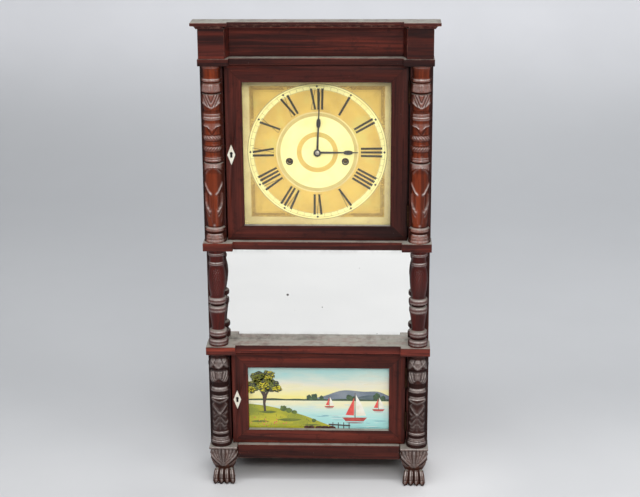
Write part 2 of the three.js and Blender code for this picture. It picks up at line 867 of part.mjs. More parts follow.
// A hand that points up from its hub, with an oval swelling along the blade.
function handShape(length, bulgeAt) {
  const [root, tip] = [handRootWidth / 2, handTipWidth / 2];
  const widthAt = (z) => root + (tip - root) * (z / length);
  const edge = [[root, 0]];
  const steps = 6;
  for (let i = 0; i <= steps; i += 1) {
    const angle = (Math.PI * i) / steps;
    const z = bulgeAt - bulgeHalfLength * Math.cos(angle);
    edge.push([widthAt(z) + (bulgeHalfWidth - widthAt(z)) * Math.sin(angle), z]);
  }
  edge.push([tip, length - handTipWidth]);
  const mirrored = edge.map(([x, z]) => [-x, z]).reverse();
  return outline([...edge, [0, length], ...mirrored]);
}

function turnHand(geometry, turn) {
  return geometry.rotateY(turn).translate(centre.x, 0, centre.z);
}

const hourHandY = dialY - handStack;
const minuteHandY = hourHandY - handStack;
const pipeRadius = 2 * arborRadius;
const hub = { x: 0, z: 0 };

function makeMinuteHand() {
  const shape = handShape(minuteHandLength, minuteBulgeAt);
  const blade = front(shape, minuteHandY, minuteHandY + handThickness);
  const boss = bar(hub, handHubRadius, minuteHandY, minuteHandY + 2 * handThickness, 16);
  const bore = bar(hub, arborRadius + seatGap, minuteHandY - handStack, minuteHandY + handStack);
  addPart("minute_hand", turnHand(carve([blade, boss], [bore]), minuteHandTurn), steel);
}

// The hour hand is fixed on a pipe that carries the hour wheel behind the dial.
function makeHourHand() {
  const shape = handShape(hourHandLength, hourBulgeAt);
  const blade = front(shape, hourHandY, hourHandY + handThickness);
  const boss = bar(hub, handHubRadius, hourHandY, hourHandY + handThickness, 16);
  const pipe = bar(hub, pipeRadius, hourHandY, hourWheelY + wheelThickness);
  const wheel = gear({
    teeth: hourTeeth,
    size: motionModule,
    y: hourWheelY,
    thickness: wheelThickness,
    turn: hourWheelTurn + hourHandTurn,
  });
  const bore = bar(hub, arborRadius + seatGap, hourHandY - handStack, frontPlateY);
  addPart(
    "hour_hand",
    turnHand(carve([blade, boss, pipe, wheel], [bore]), hourHandTurn),
    steel,
  );
}

// Wheels

// A wheel with pointed teeth, at the hub; turn is anticlockwise as seen from the front.
function gear({ teeth, size, y, thickness, turn, crossings = 0 }) {
  const pitchRadius = (size * teeth) / 2;
  return toothed({
    teeth,
    tipRadius: pitchRadius + toothRiseShare * size,
    rootRadius: pitchRadius - toothDipShare * size,
    y,
    thickness,
    turn,
    crossings,
  });
}

function toothed({ teeth, tipRadius, rootRadius, y, thickness, turn, crossings }) {
  const pitch = (2 * Math.PI) / teeth;
  const at = (radius, angle) => [radius * Math.cos(angle), radius * Math.sin(angle)];
  const points = [];
  for (let i = 0; i < teeth; i += 1) {
    const angle = turn + i * pitch;
    points.push(at(rootRadius, angle - (rootShare / 2) * pitch));
    points.push(at(tipRadius, angle));
    points.push(at(rootRadius, angle + (rootShare / 2) * pitch));
  }
  const shape = outline(points);
  const inner = rootRadius * hubShare;
  const outer = rootRadius * rimShare;
  for (let i = 0; i < crossings; i += 1) {
    const angle = turn + (2 * Math.PI * i) / crossings;
    const window = [
      at(inner, angle + windowHalfAngle),
      at(inner, angle - windowHalfAngle),
      at(outer, angle - windowHalfAngle),
      at(outer, angle),
      at(outer, angle + windowHalfAngle),
    ].map(([x, z]) => new THREE.Vector2(x, z));
    shape.holes.push(new THREE.Path(window));
  }
  return front(shape, y, y + thickness);
}

// The turn that puts a driven wheel's gaps opposite the driving wheel's teeth.
function meshedTurn(driver, driven, from, to, driverTurn) {
  const line = Math.atan2(to.z - from.z, to.x - from.x);
  const driverPhase = ((line - driverTurn) * driver) / (2 * Math.PI);
  const drivenPhase = 1 / 2 - driverPhase;
  return line + Math.PI - (drivenPhase * 2 * Math.PI) / driven;
}

// Depth planes of the wheels, and the turn of each wheel at rest.
const greatWheelY = frontPlateBackY + greatWheelThickness;
const centrePinionY = greatWheelY - runningGap;
const centreWheelY = greatWheelY + 3 * greatWheelThickness;
const thirdWheelY = centreWheelY + 5 * wheelThickness;
const escapeWheelY = thirdWheelY + 5 * wheelThickness;
const cannonY = frontPlateY - 2 * wheelThickness;
const minuteWheelY = cannonY + runningGap;
const hourWheelY = minuteWheelY - 2 * wheelThickness - runningGap;
const centreTurn = 0;
const greatTurn = meshedTurn(leaves, greatTeeth, centre, timeDrum, centreTurn);
const thirdTurn = meshedTurn(centreTeeth, leaves, centre, third, centreTurn);
const escapePinionTurn = meshedTurn(thirdTeeth, leaves, third, escape, thirdTurn);
const minuteTurn = meshedTurn(cannonLeaves, minuteTeeth, centre, minuteStud, centreTurn);
const hourWheelTurn = meshedTurn(minuteLeaves, hourTeeth, minuteStud, centre, minuteTurn);

function placed(geometry, place) {
  return geometry.translate(place.x, 0, place.z);
}

function pivoted(place, radius) {
  return bar(place, radius, frontPlateY, backPlateBackY, 10);
}

function makeGreatWheel() {
  const wheel = gear({
    teeth: greatTeeth,
    size: greatModule,
    y: greatWheelY,
    thickness: greatWheelThickness,
    turn: greatTurn,
    crossings: 4,
  });
  const bossY = greatWheelY + 2 * greatWheelThickness;
  const boss = bar(timeDrum, 2 * drumArborRadius, greatWheelY, bossY);
  const bore = bar(timeDrum, drumArborRadius + runningGap, frontPlateY, backPlateY);
  addPart("time_great_wheel", carve([placed(wheel, timeDrum), boss], [bore]), brass);
}

const drumFrontY = weightY - drumLength / 2;
const drumBackY = weightY + drumLength / 2;
const windingTipY = dialBackY + runningGap + wheelThickness;

function drumBody(place) {
  const flange = drumRadius + flangeRise;
  const profile = [
    [drumArborRadius, windingTipY],
    [drumArborRadius, drumFrontY],
    [flange, drumFrontY],
    [flange, drumFrontY + flangeThickness],
    [drumRadius, drumFrontY + flangeThickness],
    [drumRadius, drumBackY - flangeThickness],
    [flange, drumBackY - flangeThickness],
    [flange, drumBackY],
    [drumArborRadius, drumBackY],
    [drumArborRadius, backPlateBackY],
  ];
  return spun(profile, place, 16);
}

function makeDrums() {
  addPart("time_drum", carve([drumBody(timeDrum)]), brass);
  const wheel = gear({
    teeth: strikeTeeth,
    size: greatModule,
    y: greatWheelY,
    thickness: greatWheelThickness,
    turn: 0,
    crossings: 4,
  });
  addPart("strike_drum", carve([drumBody(strikeDrum), placed(wheel, strikeDrum)]), brass);
}

function makeTrain() {
  const centrePinion = gear({
    teeth: leaves,
    size: greatModule,
    y: centrePinionY,
    thickness: greatWheelThickness + 2 * runningGap,
    turn: centreTurn,
  });
  const cannon = gear({
    teeth: cannonLeaves,
    size: motionModule,
    y: cannonY,
    thickness: 2 * wheelThickness - runningGap,
    turn: centreTurn,
  });
  const centreWheel = gear({
    teeth: centreTeeth,
    size: trainModule,
    y: centreWheelY,
    thickness: wheelThickness,
    turn: centreTurn,
    crossings: 4,
  });
  const centreArbor = bar(centre, arborRadius, minuteHandY - handThickness, backPlateBackY, 10);
  const centrePieces = [centrePinion, cannon, centreWheel].map((piece) => placed(piece, centre));
  addPart("centre_wheel", carve([centreArbor, ...centrePieces]), brass);

  const thirdPinion = gear({
    teeth: leaves,
    size: trainModule,
    y: centreWheelY - runningGap,
    thickness: wheelThickness + 2 * runningGap,
    turn: thirdTurn,
  });
  const thirdWheel = gear({
    teeth: thirdTeeth,
    size: trainModule,
    y: thirdWheelY,
    thickness: wheelThickness,
    turn: thirdTurn,
    crossings: 4,
  });
  const thirdPieces = [thirdPinion, thirdWheel].map((piece) => placed(piece, third));
  addPart("third_wheel", carve([pivoted(third, thinArborRadius), ...thirdPieces]), brass);

  const escapePinion = gear({
    teeth: leaves,
    size: trainModule,
    y: thirdWheelY - runningGap,
    thickness: wheelThickness + 2 * runningGap,
    turn: escapePinionTurn,
  });
  const escapeWheel = toothed({
    teeth: escapeTeeth,
    tipRadius: escapeRadius,
    rootRadius: escapeRadius - escapeDepth,
    y: escapeWheelY,
    thickness: wheelThickness,
    turn: 0,
    crossings: 4,
  });
  const escapePieces = [escapePinion, escapeWheel].map((piece) => placed(piece, escape));
  addPart("escape_wheel", carve([pivoted(escape, thinArborRadius), ...escapePieces]), brass);
}

// The minute wheel turns on a stud of the front plate and drives the hour wheel.
function makeMinuteWheel() {
  const wheel = gear({
    teeth: minuteTeeth,
    size: motionModule,
    y: minuteWheelY,
    thickness: wheelThickness,
    turn: minuteTurn,
  });
  const pinion = gear({
    teeth: minuteLeaves,
    size: motionModule,
    y: hourWheelY - runningGap,
    thickness: minuteWheelY - hourWheelY + 2 * runningGap,
    turn: minuteTurn,
  });
  const bore = bar(hub, thinArborRadius + runningGap, dialBackY, frontPlateY);
  addPart("minute_wheel", placed(carve([wheel, pinion], [bore]), minuteStud), brass);
}

// Plates and escapement

const plateTopZ = dialZ + plateUpperHeight;
const plateBottomZ = dialZ - plateLowerHeight;
const arbors = [
  { place: centre, radius: arborRadius },
  { place: timeDrum, radius: drumArborRadius },
  { place: strikeDrum, radius: drumArborRadius },
  { place: third, radius: thinArborRadius },
  { place: escape, radius: thinArborRadius },
  { place: verge, radius: thinArborRadius },
  { place: hammer, radius: thinArborRadius },
];

function plateHoles(y0, y1) {
  return arbors.map(({ place, radius }) => bar(place, radius + runningGap, y0, y1));
}

function makePlates() {
  const half = plateHalfWidth;
  const frontPlate = block(-half, half, frontPlateY, frontPlateBackY, plateBottomZ, plateTopZ);
  const stud = bar(minuteStud, thinArborRadius, hourWheelY - runningGap, frontPlateBackY, 10);
  const frontHoles = plateHoles(dialBackY, backPlateY);
  addPart("movement_front_plate", carve([frontPlate, stud], frontHoles), brass);

  const backPlate = block(-half, half, backPlateY, backPlateBackY, plateBottomZ, plateTopZ);
  const pieces = [backPlate];
  const corner = { x: half - pillarInset, top: plateTopZ - pillarInset };
  const pillars = [
    { x: -corner.x, z: corner.top },
    { x: corner.x, z: corner.top },
    { x: centre.x, z: plateBottomZ + pillarInset },
  ];
  for (const place of pillars) {
    pieces.push(bar(place, pillarRadius, frontPlateBackY, backPlateBackY, 10));
  }
  const posts = [
    { x: -corner.x, z: corner.top },
    { x: corner.x, z: corner.top },
    { x: -corner.x, z: plateBottomZ + pillarInset },
    { x: corner.x, z: plateBottomZ + pillarInset },
  ];
  for (const place of posts) pieces.push(bar(place, postRadius, backPlateY, boardY));
  const backHoles = plateHoles(frontPlateY, backPlateBackY + seatGap);
  addPart("movement_back_plate", carve([...pieces, ...backCock()], backHoles), brass);
}

// The cock behind the back plate carries the stud that the pendulum hangs on.
function backCock() {
  const half = cockHalfWidth;
  const cockY = rodY + pendulumEyeRadius;
  const cockZ = verge.z + cockRise;
  return [
    block(-half, half, backPlateY, cockY, cockZ - cockThickness, cockZ),
    block(-half, half, cockY - cockThickness, cockY, verge.z - cockThickness, cockZ),
    bar(verge, suspensionRadius, rodY - 2 * rodRadius, cockY, 10),
  ];
}

const vergeShares = [
  [-0.92, -0.46], [-0.76, -0.33], [0, -0.16], [0.76, -0.33], [0.92, -0.46],
  [1, -0.36], [0.16, 0.13], [-0.16, 0.13], [-1, -0.36],
];

function makeVerge() {
  const anchor = outline(vergeShares.map(([x, z]) => [x * palletReach, z * palletReach]));
  const y = escapeWheelY - (palletThickness - wheelThickness) / 2;
  const crutchY = backPlateBackY + wheelThickness;
  const prongY = rodY + rodRadius;
  const room = rodRadius + runningGap;
  const foot = verge.z - crutchLength;
  const footTop = foot + crutchWidth;
  const crutchBackY = crutchY + prongThickness;
  const half = crutchWidth / 2;
  const reach = room + prongThickness;
  const pieces = [
    bar(verge, thinArborRadius, frontPlateY, crutchBackY, 10),
    placed(front(anchor, y, y + palletThickness), verge),
    block(-half, half, crutchY, crutchBackY, foot, verge.z),
    block(-reach, reach, crutchY, crutchBackY, foot, footTop),
    block(room, reach, crutchY, prongY, foot, footTop),
    block(-reach, -room, crutchY, prongY, foot, footTop),
  ];
  addPart("verge", carve(pieces), steel);
}

// The pendulum hangs by an eye on the stud of the back cock.
function makePendulum() {
  const bobZ = verge.z - pendulumLength;
  const eye = bar(verge, pendulumEyeRadius, rodY - rodRadius, rodY + rodRadius);
  const boreRadius = suspensionRadius + runningGap;
  const rodDrop = (boreRadius + pendulumEyeRadius) / 2;
  const rod = new THREE.CylinderGeometry(rodRadius, rodRadius, pendulumLength - rodDrop, 8);
  rod.rotateX(Math.PI / 2);
  rod.translate(0, rodY, verge.z - (pendulumLength + rodDrop) / 2);
  const bobHalf = bobThickness / 2;
  const bob = spun(
    [
      [bobRadius / 2, rodY - bobHalf],
      [bobRadius, rodY - rodRadius],
      [bobRadius, rodY + rodRadius],
      [bobRadius / 2, rodY + bobHalf],
    ],
    { x: 0, z: bobZ },
    24,
  );
  const bore = bar(verge, boreRadius, rodY - bobHalf, rodY + bobHalf);
  addPart("pendulum", carve([eye, rod, bob], [bore]), brass);
}

// Weights, cords and pulleys

function makeWeights() {
  const chamfer = weightChamfer;
  for (const { name, sign } of sides) {
    const profile = [
      [weightRadius - chamfer, weightZ],
      [weightRadius, weightZ + chamfer],
      [weightRadius, weightTopZ - chamfer],
      [weightRadius - chamfer, weightTopZ],
      [weightEyeRadius, weightTopZ],
      [weightEyeRadius, weightTopZ + weightEyeHeight],
    ];
    addPart("weight_" + name, carve([turned(profile, sign * weightX, weightY, 16)]), castIron);
  }
}

function makePulleys() {
  const half = pulleyThickness / 2;
  for (const { name, sign } of sides) {
    const profile = [
      [pulleyAxleRadius, weightY - pulleyAxleLength / 2],
      [pulleyAxleRadius, weightY - half],
      [pulleyRimRadius, weightY - half],
      [pulleyGrooveRadius, weightY - half / 2],
      [pulleyGrooveRadius, weightY + half / 2],
      [pulleyRimRadius, weightY + half],
      [pulleyAxleRadius, weightY + half],
      [pulleyAxleRadius, weightY + pulleyAxleLength / 2],
    ];
    const place = { x: sign * pulleyX, z: pulleyZ };
    addPart("pulley_" + name, carve([spun(profile, place, 16)]), brass);
  }
}

// Each cord runs up from its weight, over the pulley and down to the outside of its drum.
function makeCords() {
  const arcSteps = 8;
  const dx = pulleyX - timeDrum.x;
  const dz = pulleyZ - timeDrum.z;
  const cross = Math.acos((cordRunRadius + drumRunRadius) / Math.hypot(dx, dz));
  const leave = Math.atan2(dz, dx) + Math.PI - cross;
  for (const { name, sign } of sides) {
    const at = (place, radius, angle) =>
      new THREE.Vector3(
        sign * (place.x + radius * Math.cos(angle)),
        weightY,
        place.z + radius * Math.sin(angle),
      );
    const pulley = { x: pulleyX, z: pulleyZ };
    const eyeZ = weightTopZ + weightEyeHeight + seatGap;
    const points = [new THREE.Vector3(sign * weightX, weightY, eyeZ)];
    for (let i = 0; i <= arcSteps; i += 1) {
      points.push(at(pulley, cordRunRadius, (leave * i) / arcSteps));
    }
    points.push(at(timeDrum, drumRunRadius, leave + Math.PI));
    addPart("cord_" + name, sweep(points, cordRadius, 8), cordFibre);
  }
}

// Hammer and gong

function makeHammer() {
  const headReach = gongRadius + gongWireRadius + hammerHeadRadius + gongStrikeGap;
  const head = {
    x: gong.x + headReach * Math.cos(gongStrikeTurn),
    z: gong.z + headReach * Math.sin(gongStrikeTurn),
  };
  const y = boardY - gongSetback;
  const length = Math.hypot(head.x - hammer.x, head.z - hammer.z);
  const lean = Math.atan2(head.x - hammer.x, hammer.z - head.z);
  const rod = new THREE.CylinderGeometry(hammerRodRadius, hammerRodRadius, length, 8);
  rod.rotateX(Math.PI / 2).translate(0, 0, -length / 2);
  rod.rotateY(-lean).translate(hammer.x, y, hammer.z);
  const half = hammerHeadLength / 2;
  const pieces = [
    bar(hammer, thinArborRadius, frontPlateY, y + 2 * hammerRodRadius, 10),
    rod,
    bar(head, hammerHeadRadius, y - half, y + half, 16),
  ];
  addPart("hammer", carve(pieces), steel);
}

function makeGong() {
  const y = boardY - gongSetback;
  const stepsPerTurn = 16;
  const steps = gongTurns * stepsPerTurn;
  const points = [];
  for (let i = 0; i <= steps; i += 1) {
    const angle = (2 * Math.PI * i) / stepsPerTurn;
    const radius = gongPostRadius / 2 + (gongRadius - gongPostRadius / 2) * (i / steps);
    points.push(
      new THREE.Vector3(gong.x + radius * Math.cos(angle), y, gong.z + radius * Math.sin(angle)),
    );
  }
  const post = bar(gong, gongPostRadius, y - 2 * gongWireRadius, boardY);
  addPart("gong", carve([sweep(points, gongWireRadius, 5), post]), castIron);
}

makeCaseBoards();
makeTopBoard();
makeSideBoards();
makeBelts();
makeFrieze();
makeCornice();
makeMirror();
makeColumns();
makePawFeet();
for (const door of doors) {
  makeDoorFrame(door);
  makeEscutcheon(door);
  makeLockBolt(door);
  makeHinges(door);
}
makeDoorGlass(upperDoor, "upper_door_glass", windowGlass);
makeDoorGlass(lowerDoor, "lower_door_tablet", windowGlass);
makeDial();
makeMinuteHand();
makeHourHand();
makeGreatWheel();
makeDrums();
makeTrain();
makeMinuteWheel();
makePlates();
makeVerge();
makePendulum();
makeWeights();
makePulleys();
makeCords();
makeHammer();
makeGong();

export default clock;
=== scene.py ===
# Looks of the three-tier shelf clock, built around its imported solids. Metres, +Z up, front faces -Y.
import math
import random

import bmesh
import bpy
import numpy as np
from mathutils import Matrix, Vector


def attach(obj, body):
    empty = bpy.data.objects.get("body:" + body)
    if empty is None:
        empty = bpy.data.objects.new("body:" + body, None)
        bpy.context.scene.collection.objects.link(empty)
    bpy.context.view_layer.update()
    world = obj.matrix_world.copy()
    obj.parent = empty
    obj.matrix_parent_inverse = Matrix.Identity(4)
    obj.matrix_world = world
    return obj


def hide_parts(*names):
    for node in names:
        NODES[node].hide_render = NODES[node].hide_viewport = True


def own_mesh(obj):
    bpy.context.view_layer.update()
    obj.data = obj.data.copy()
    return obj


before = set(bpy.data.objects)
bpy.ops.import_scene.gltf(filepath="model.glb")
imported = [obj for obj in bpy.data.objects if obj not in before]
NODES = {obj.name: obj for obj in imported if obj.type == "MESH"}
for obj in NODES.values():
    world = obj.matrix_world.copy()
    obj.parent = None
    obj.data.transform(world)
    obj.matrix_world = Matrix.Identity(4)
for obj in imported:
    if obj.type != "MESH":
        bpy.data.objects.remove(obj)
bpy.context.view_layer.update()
MM = 0.001
rng = random.Random(11)


# Camera, at the place fitted to the photograph
CAMERA_PLACE = (0.1144276, -2.8698697, 1.4090509)
YAW, PITCH, ROLL = 0.0386148375, 0.309572427, 0.00661890919
FOCAL_LENGTH = 85.15
SENSOR_WIDTH = 36.0


def make_camera():
    level = math.cos(PITCH)
    ahead = Vector((-math.sin(YAW) * level, math.cos(YAW) * level, -math.sin(PITCH)))
    side = Vector((math.cos(YAW), math.sin(YAW), 0.0))
    down = ahead.cross(side)
    x_axis = math.cos(ROLL) * side + math.sin(ROLL) * down
    y_axis = math.sin(ROLL) * side - math.cos(ROLL) * down
    turn = Matrix((x_axis, y_axis, -ahead)).transposed()
    data = bpy.data.cameras.new("camera")
    data.lens = FOCAL_LENGTH
    data.sensor_width = SENSOR_WIDTH
    data.sensor_fit = "HORIZONTAL"
    data.clip_start = 0.05
    data.clip_end = 60.0
    camera = bpy.data.objects.new("camera", data)
    camera.matrix_world = Matrix.Translation(CAMERA_PLACE) @ turn.to_4x4()
    bpy.context.scene.collection.objects.link(camera)
    bpy.context.scene.camera = camera


make_camera()


# Materials

def linear(r, g, b):
    """A colour given as it looks on a screen, 0 to 255, as the shader wants it."""
    shares = [c / 255 for c in (r, g, b)]
    return tuple(s / 12.92 if s <= 0.04 else ((s + 0.055) / 1.055) ** 2.4 for s in shares) + (1.0,)


class Look:
    """A material whose nodes are added by short calls. Inputs are numbers, colours or nodes' outputs."""

    def __init__(self, name, **fixed):
        self.mat = bpy.data.materials.new(name)
        self.mat.use_nodes = True
        self.tree = self.mat.node_tree
        self.shader = self.tree.nodes["Principled BSDF"]
        self.where = self.add("ShaderNodeTexCoord").outputs["Object"]
        self.normal = None
        for socket, value in fixed.items():
            self.set(socket.replace("_", " "), value)

    def add(self, kind, inputs=(), **settings):
        node = self.tree.nodes.new(kind)
        for key, value in settings.items():
            setattr(node, key, value)
        for key, value in dict(inputs).items():
            if isinstance(value, bpy.types.NodeSocket):
                self.tree.links.new(value, node.inputs[key])
            else:
                node.inputs[key].default_value = value
        return node

    def set(self, socket, value):
        if isinstance(value, bpy.types.NodeSocket):
            self.tree.links.new(value, self.shader.inputs[socket])
        else:
            self.shader.inputs[socket].default_value = value

    def math(self, operation, a, b=0.0):
        return self.add("ShaderNodeMath", {0: a, 1: b}, operation=operation).outputs[0]

    def times(self, a, b):
        return self.math("MULTIPLY", a, b)

    def plus(self, a, b):
        return self.math("ADD", a, b)

    def minus(self, a, b):
        return self.math("SUBTRACT", a, b)

    def unsigned(self, a):
        return self.math("ABSOLUTE", a)

    def vector(self, operation, a, b):
        return self.add("ShaderNodeVectorMath", {0: a, 1: b}, operation=operation).outputs

    def scaled(self, size, place=None):
        return self.add("ShaderNodeMapping", {"Vector": place or self.where, "Scale": size}).outputs[0]

    def noise(self, place, scale, detail=3.0, rough=0.5, bend=0.0):
        inputs = {"Vector": place, "Scale": scale, "Detail": detail, "Roughness": rough, "Distortion": bend}
        return self.add("ShaderNodeTexNoise", inputs).outputs["Fac"]

    def cloud(self, scale, detail=3.0, rough=0.5):
        """Noise over the unstretched object."""
        return self.noise(self.where, scale, detail, rough)

    def step(self, value, low, high, to_low=0.0, to_high=1.0):
        inputs = {"Value": value, "From Min": low, "From Max": high, "To Min": to_low, "To Max": to_high}
        return self.add("ShaderNodeMapRange", inputs, interpolation_type="SMOOTHSTEP").outputs[0]

    def mix(self, share, a, b, blend="MIX"):
        inputs = {0: share, 6: a, 7: b}
        return self.add("ShaderNodeMix", inputs, data_type="RGBA", blend_type=blend).outputs[2]

    def over(self, colour, field, low, high, share, other):
        """The colour, with up to a share of the other one laid over it as the field goes from low to high."""
        return self.mix(self.step(field, low, high, 0.0, share), colour, other)

    def dimmed(self, colour, light):
        return self.mix(1.0, colour, (light, light, light, 1.0), "MULTIPLY")

    def parts(self, vector):
        return self.add("ShaderNodeSeparateXYZ", {0: vector}).outputs

    def join(self, x, y, z):
        return self.add("ShaderNodeCombineXYZ", {0: x, 1: y, 2: z}).outputs[0]

    def bump(self, height, distance, strength=1.0):
        inputs = {"Height": height, "Distance": distance, "Strength": strength}
        if self.normal is not None:
            inputs["Normal"] = self.normal
        self.normal = self.add("ShaderNodeBump", inputs).outputs[0]
        self.set("Normal", self.normal)

    def upward(self):
        """1 where the surface faces up, 0 on upright faces."""
        facing = self.parts(self.add("ShaderNodeNewGeometry").outputs["Normal"])[2]
        return self.step(facing, 0.55, 0.95)

    def painted(self, name):
        """A number written on the mesh's corners or points."""
        return self.add("ShaderNodeAttribute", attribute_name=name).outputs["Fac"]


DUST = linear(168, 165, 155)
PORES = (0.006, 0.003, 0.002, 1.0)


def grain_space(look, along, seed=0.0):
    """Coordinates stretched so that noise runs along one axis as wood fibres do."""
    stretch = {"x": (0.035, 1.0, 1.0), "z": (1.0, 1.0, 0.035)}[along]
    shift = (seed, seed * 0.7, seed * 1.3)
    return look.scaled(stretch, look.vector("ADD", look.where, shift)["Vector"])


def wood_colours(look, place, dark, middle, light, figure=26.0):
    """Fibre streaks over a slow figure: gives the colour, the fine streaks and the broad ones."""
    slow = look.noise(place, figure * 1.6, 4.0, 0.65, 0.6)
    streak = look.noise(place, figure * 7, 4.0, 0.7, 0.3)
    fine = look.noise(place, figure * 40, 2.0, 0.7)
    drawn_out = look.vector("MULTIPLY", place, (2.2, 2.2, 2.2))["Vector"]
    patch = look.noise(drawn_out, 17.0, 3.0, 0.6, 1.5)
    colour = look.mix(look.step(slow, 0.38, 0.62), dark, middle)
    colour = look.over(colour, patch, 0.4, 0.75, 0.75, light)
    colour = look.over(colour, streak, 0.47, 0.66, 0.7, dark)
    colour = look.over(colour, fine, 0.55, 0.75, 0.45, PORES)
    return colour, fine, streak


def mitred(look, seed, half_x, middle, half_z):
    """Grain that turns at the mitres of a frame, and the lines of the mitres."""
    x, _, z = look.parts(look.where)[:3]
    from_side = look.minus(half_x, look.unsigned(x))
    from_end = look.minus(half_z, look.unsigned(look.minus(z, middle)))
    gap = look.minus(from_side, from_end)
    in_stile = look.math("LESS_THAN", gap, 0.0)
    place = look.mix(in_stile, grain_space(look, "x", seed), grain_space(look, "z", seed + 0.4))
    return place, look.step(look.unsigned(gap), 0.00015, 0.0009, 1.0, 0.0)


def varnished(name, along, seed, tone, pale_share=0.0, fall=1.0, mitre=None):
    """Old varnished mahogany veneer. tone is its brightness, worn how much of it is rubbed pale, and fall
    the brightness of its right end as a share of its left one. mitre is the half width, middle height and
    half height of a mitred frame, in metres."""

    def shade(r, g, b):
        return linear(*(min(255, c * tone) for c in (r, g, b)))

    look = Look(name, Specular_IOR_Level=0.16, IOR=1.5)
    place, joint = mitred(look, seed, *mitre) if mitre else (grain_space(look, along, seed), None)
    tones = (shade(40, 19, 18), shade(79, 35, 29), shade(116, 49, 36))
    colour, fine, streak = wood_colours(look, place, *tones)
    grime = look.cloud(46.0, 5.0, 0.7)
    colour = look.over(colour, grime, 0.52, 0.72, 0.6, shade(40, 20, 20))
    if mitre:
        colour = look.mix(look.times(joint, 0.55), colour, linear(28, 15, 14))
    colour = look.over(colour, look.cloud(420.0, 1.0), 0.78, 0.82, 0.7, linear(150, 130, 120))
    if pale_share:
        colour = look.over(colour, look.cloud(90.0, 4.0, 0.7), 0.46, 0.66, pale_share, linear(140, 104, 88))
    film = look.step(look.cloud(55.0, 4.0, 0.7), 0.25, 0.6, 0.3825, 0.85)
    dust = look.times(look.upward(), film)
    if fall < 1:
        right = look.step(look.parts(look.where)[0], -0.05, 0.17)
        colour = look.mix(right, colour, look.dimmed(colour, fall))
    look.set("Base Color", look.mix(dust, colour, DUST))
    rough = look.step(grime, 0.3, 0.75, 0.34, 0.52)
    look.set("Roughness", look.plus(rough, look.times(dust, 0.12)))
    look.bump(streak, 0.0006, 0.35)
    look.bump(fine, 0.0002, 0.4)
    return look.mat


def carved_wood(name, smooth_tone, seed):
    """Carved and turned wood: smooth parts keep their varnish, edges rubbed pale carry painted highlights,
    and hollows get painted shade with dirt. The mesh says where, with numbers on its points for pale wear
    with painted highlight, for painted highlight lines on rings, and for painted shade with dirt."""
    look = Look(name, Specular_IOR_Level=0.15, Coat_Roughness=0.22, Coat_IOR=1.6, IOR=1.5)
    r, g, b = smooth_tone
    tones = (linear(r * 0.66, g * 0.62, b * 0.62), linear(r, g, b), linear(r * 1.12, g * 1.12, b * 1.05))
    colour, fine, _ = wood_colours(look, grain_space(look, "z", seed), *tones, 40.0)
    mottle = look.cloud(240.0, 4.0, 0.7)
    facing = look.parts(look.add("ShaderNodeNewGeometry").outputs["Normal"])
    # Painted highlight: pale silver where the mesh's numbers say, most on parts facing up and to the front.
    lifted = look.step(facing[2], -0.1, 0.5, 0.2, 1.0)
    frontal = look.step(facing[1], -0.95, -0.3, 1.0, 0.35)
    pale_share = look.times(look.painted("pale"), look.times(lifted, frontal))
    pale_share = look.math("MAXIMUM", pale_share, look.times(look.painted("shine"), frontal))
    pale_share = look.times(pale_share, look.step(mottle, 0.3, 0.64, 0.5, 1.0))
    deep = look.painted("deep")
    colour = look.mix(pale_share, colour, linear(198, 186, 180))
    # Painted shade with dirt: darker where the mesh's numbers mark hollows and the sides against the board.
    colour = look.mix(look.times(deep, 0.85), colour, linear(30, 12, 10))
    film = look.step(look.cloud(80.0, 4.0, 0.7), 0.25, 0.6, 0.3, 0.7)
    dust = look.times(look.upward(), film)
    look.set("Base Color", look.mix(dust, colour, DUST))
    rough = look.plus(look.step(mottle, 0.2, 0.8, 0.26, 0.42), look.times(deep, 0.45))
    look.set("Roughness", look.plus(rough, look.times(dust, 0.3)))
    polish = look.plus(0.1, look.times(look.painted("pale"), 0.8))
    look.set("Coat Weight", look.times(polish, look.minus(1.0, deep)))
    look.bump(mottle, 0.0003, 0.5)
    look.bump(fine, 0.0002, 0.4)
    return look.mat


def pine_boards(name, along, light=1.0, seed=0.3, shaded_foot=False):
    """Bare softwood: soft growth rings, small knots and old stains. light below 1 makes the board darker.
    With the flag for its foot set, the board is painted darker towards the floor, as painted shade under the
    case."""
    look = Look(name, Roughness=0.75)
    place = grain_space(look, along, seed)
    broad = look.noise(place, 24.0, 2.0, 0.5, 0.6)
    rings = look.noise(place, 140.0, 3.0, 0.6, 0.8)
    fine = look.noise(place, 900.0, 2.0, 0.6)
    colour = look.mix(look.step(broad, 0.35, 0.65), linear(150, 112, 72), linear(128, 92, 58))
    colour = look.over(colour, rings, 0.44, 0.72, 0.75, linear(98, 66, 40))
    x, y, z = look.parts(look.where)[:3]
    across = look.plus(look.plus(x, y), seed)
    flat = look.join(across, look.times(z, 0.7), 0.0)
    spot = look.add("ShaderNodeTexVoronoi", {"Vector": flat, "Scale": 5.0}, voronoi_dimensions="2D")
    knot = look.step(spot.outputs["Distance"], 0.02, 0.06, 1.0, 0.0)
    colour = look.mix(look.times(knot, 0.85), colour, linear(52, 32, 22))
    colour = look.over(colour, look.cloud(5.0, 4.0, 0.6), 0.42, 0.75, 0.7, linear(76, 54, 40))
    colour = look.over(colour, fine, 0.6, 0.8, 0.4, linear(60, 42, 30))
    # Painted shade: darker towards the floor, standing for the shade under the case.
    if shaded_foot:
        foot_shade = look.step(look.plus(z, look.times(broad, 0.07)), 0.075, 0.16, 0.85, 0.0)
        colour = look.mix(foot_shade, colour, linear(26, 19, 16))
    look.set("Base Color", look.dimmed(colour, light))
    look.bump(rings, 0.0003, 0.3)
    look.bump(fine, 0.0003, 0.5)
    return look.mat


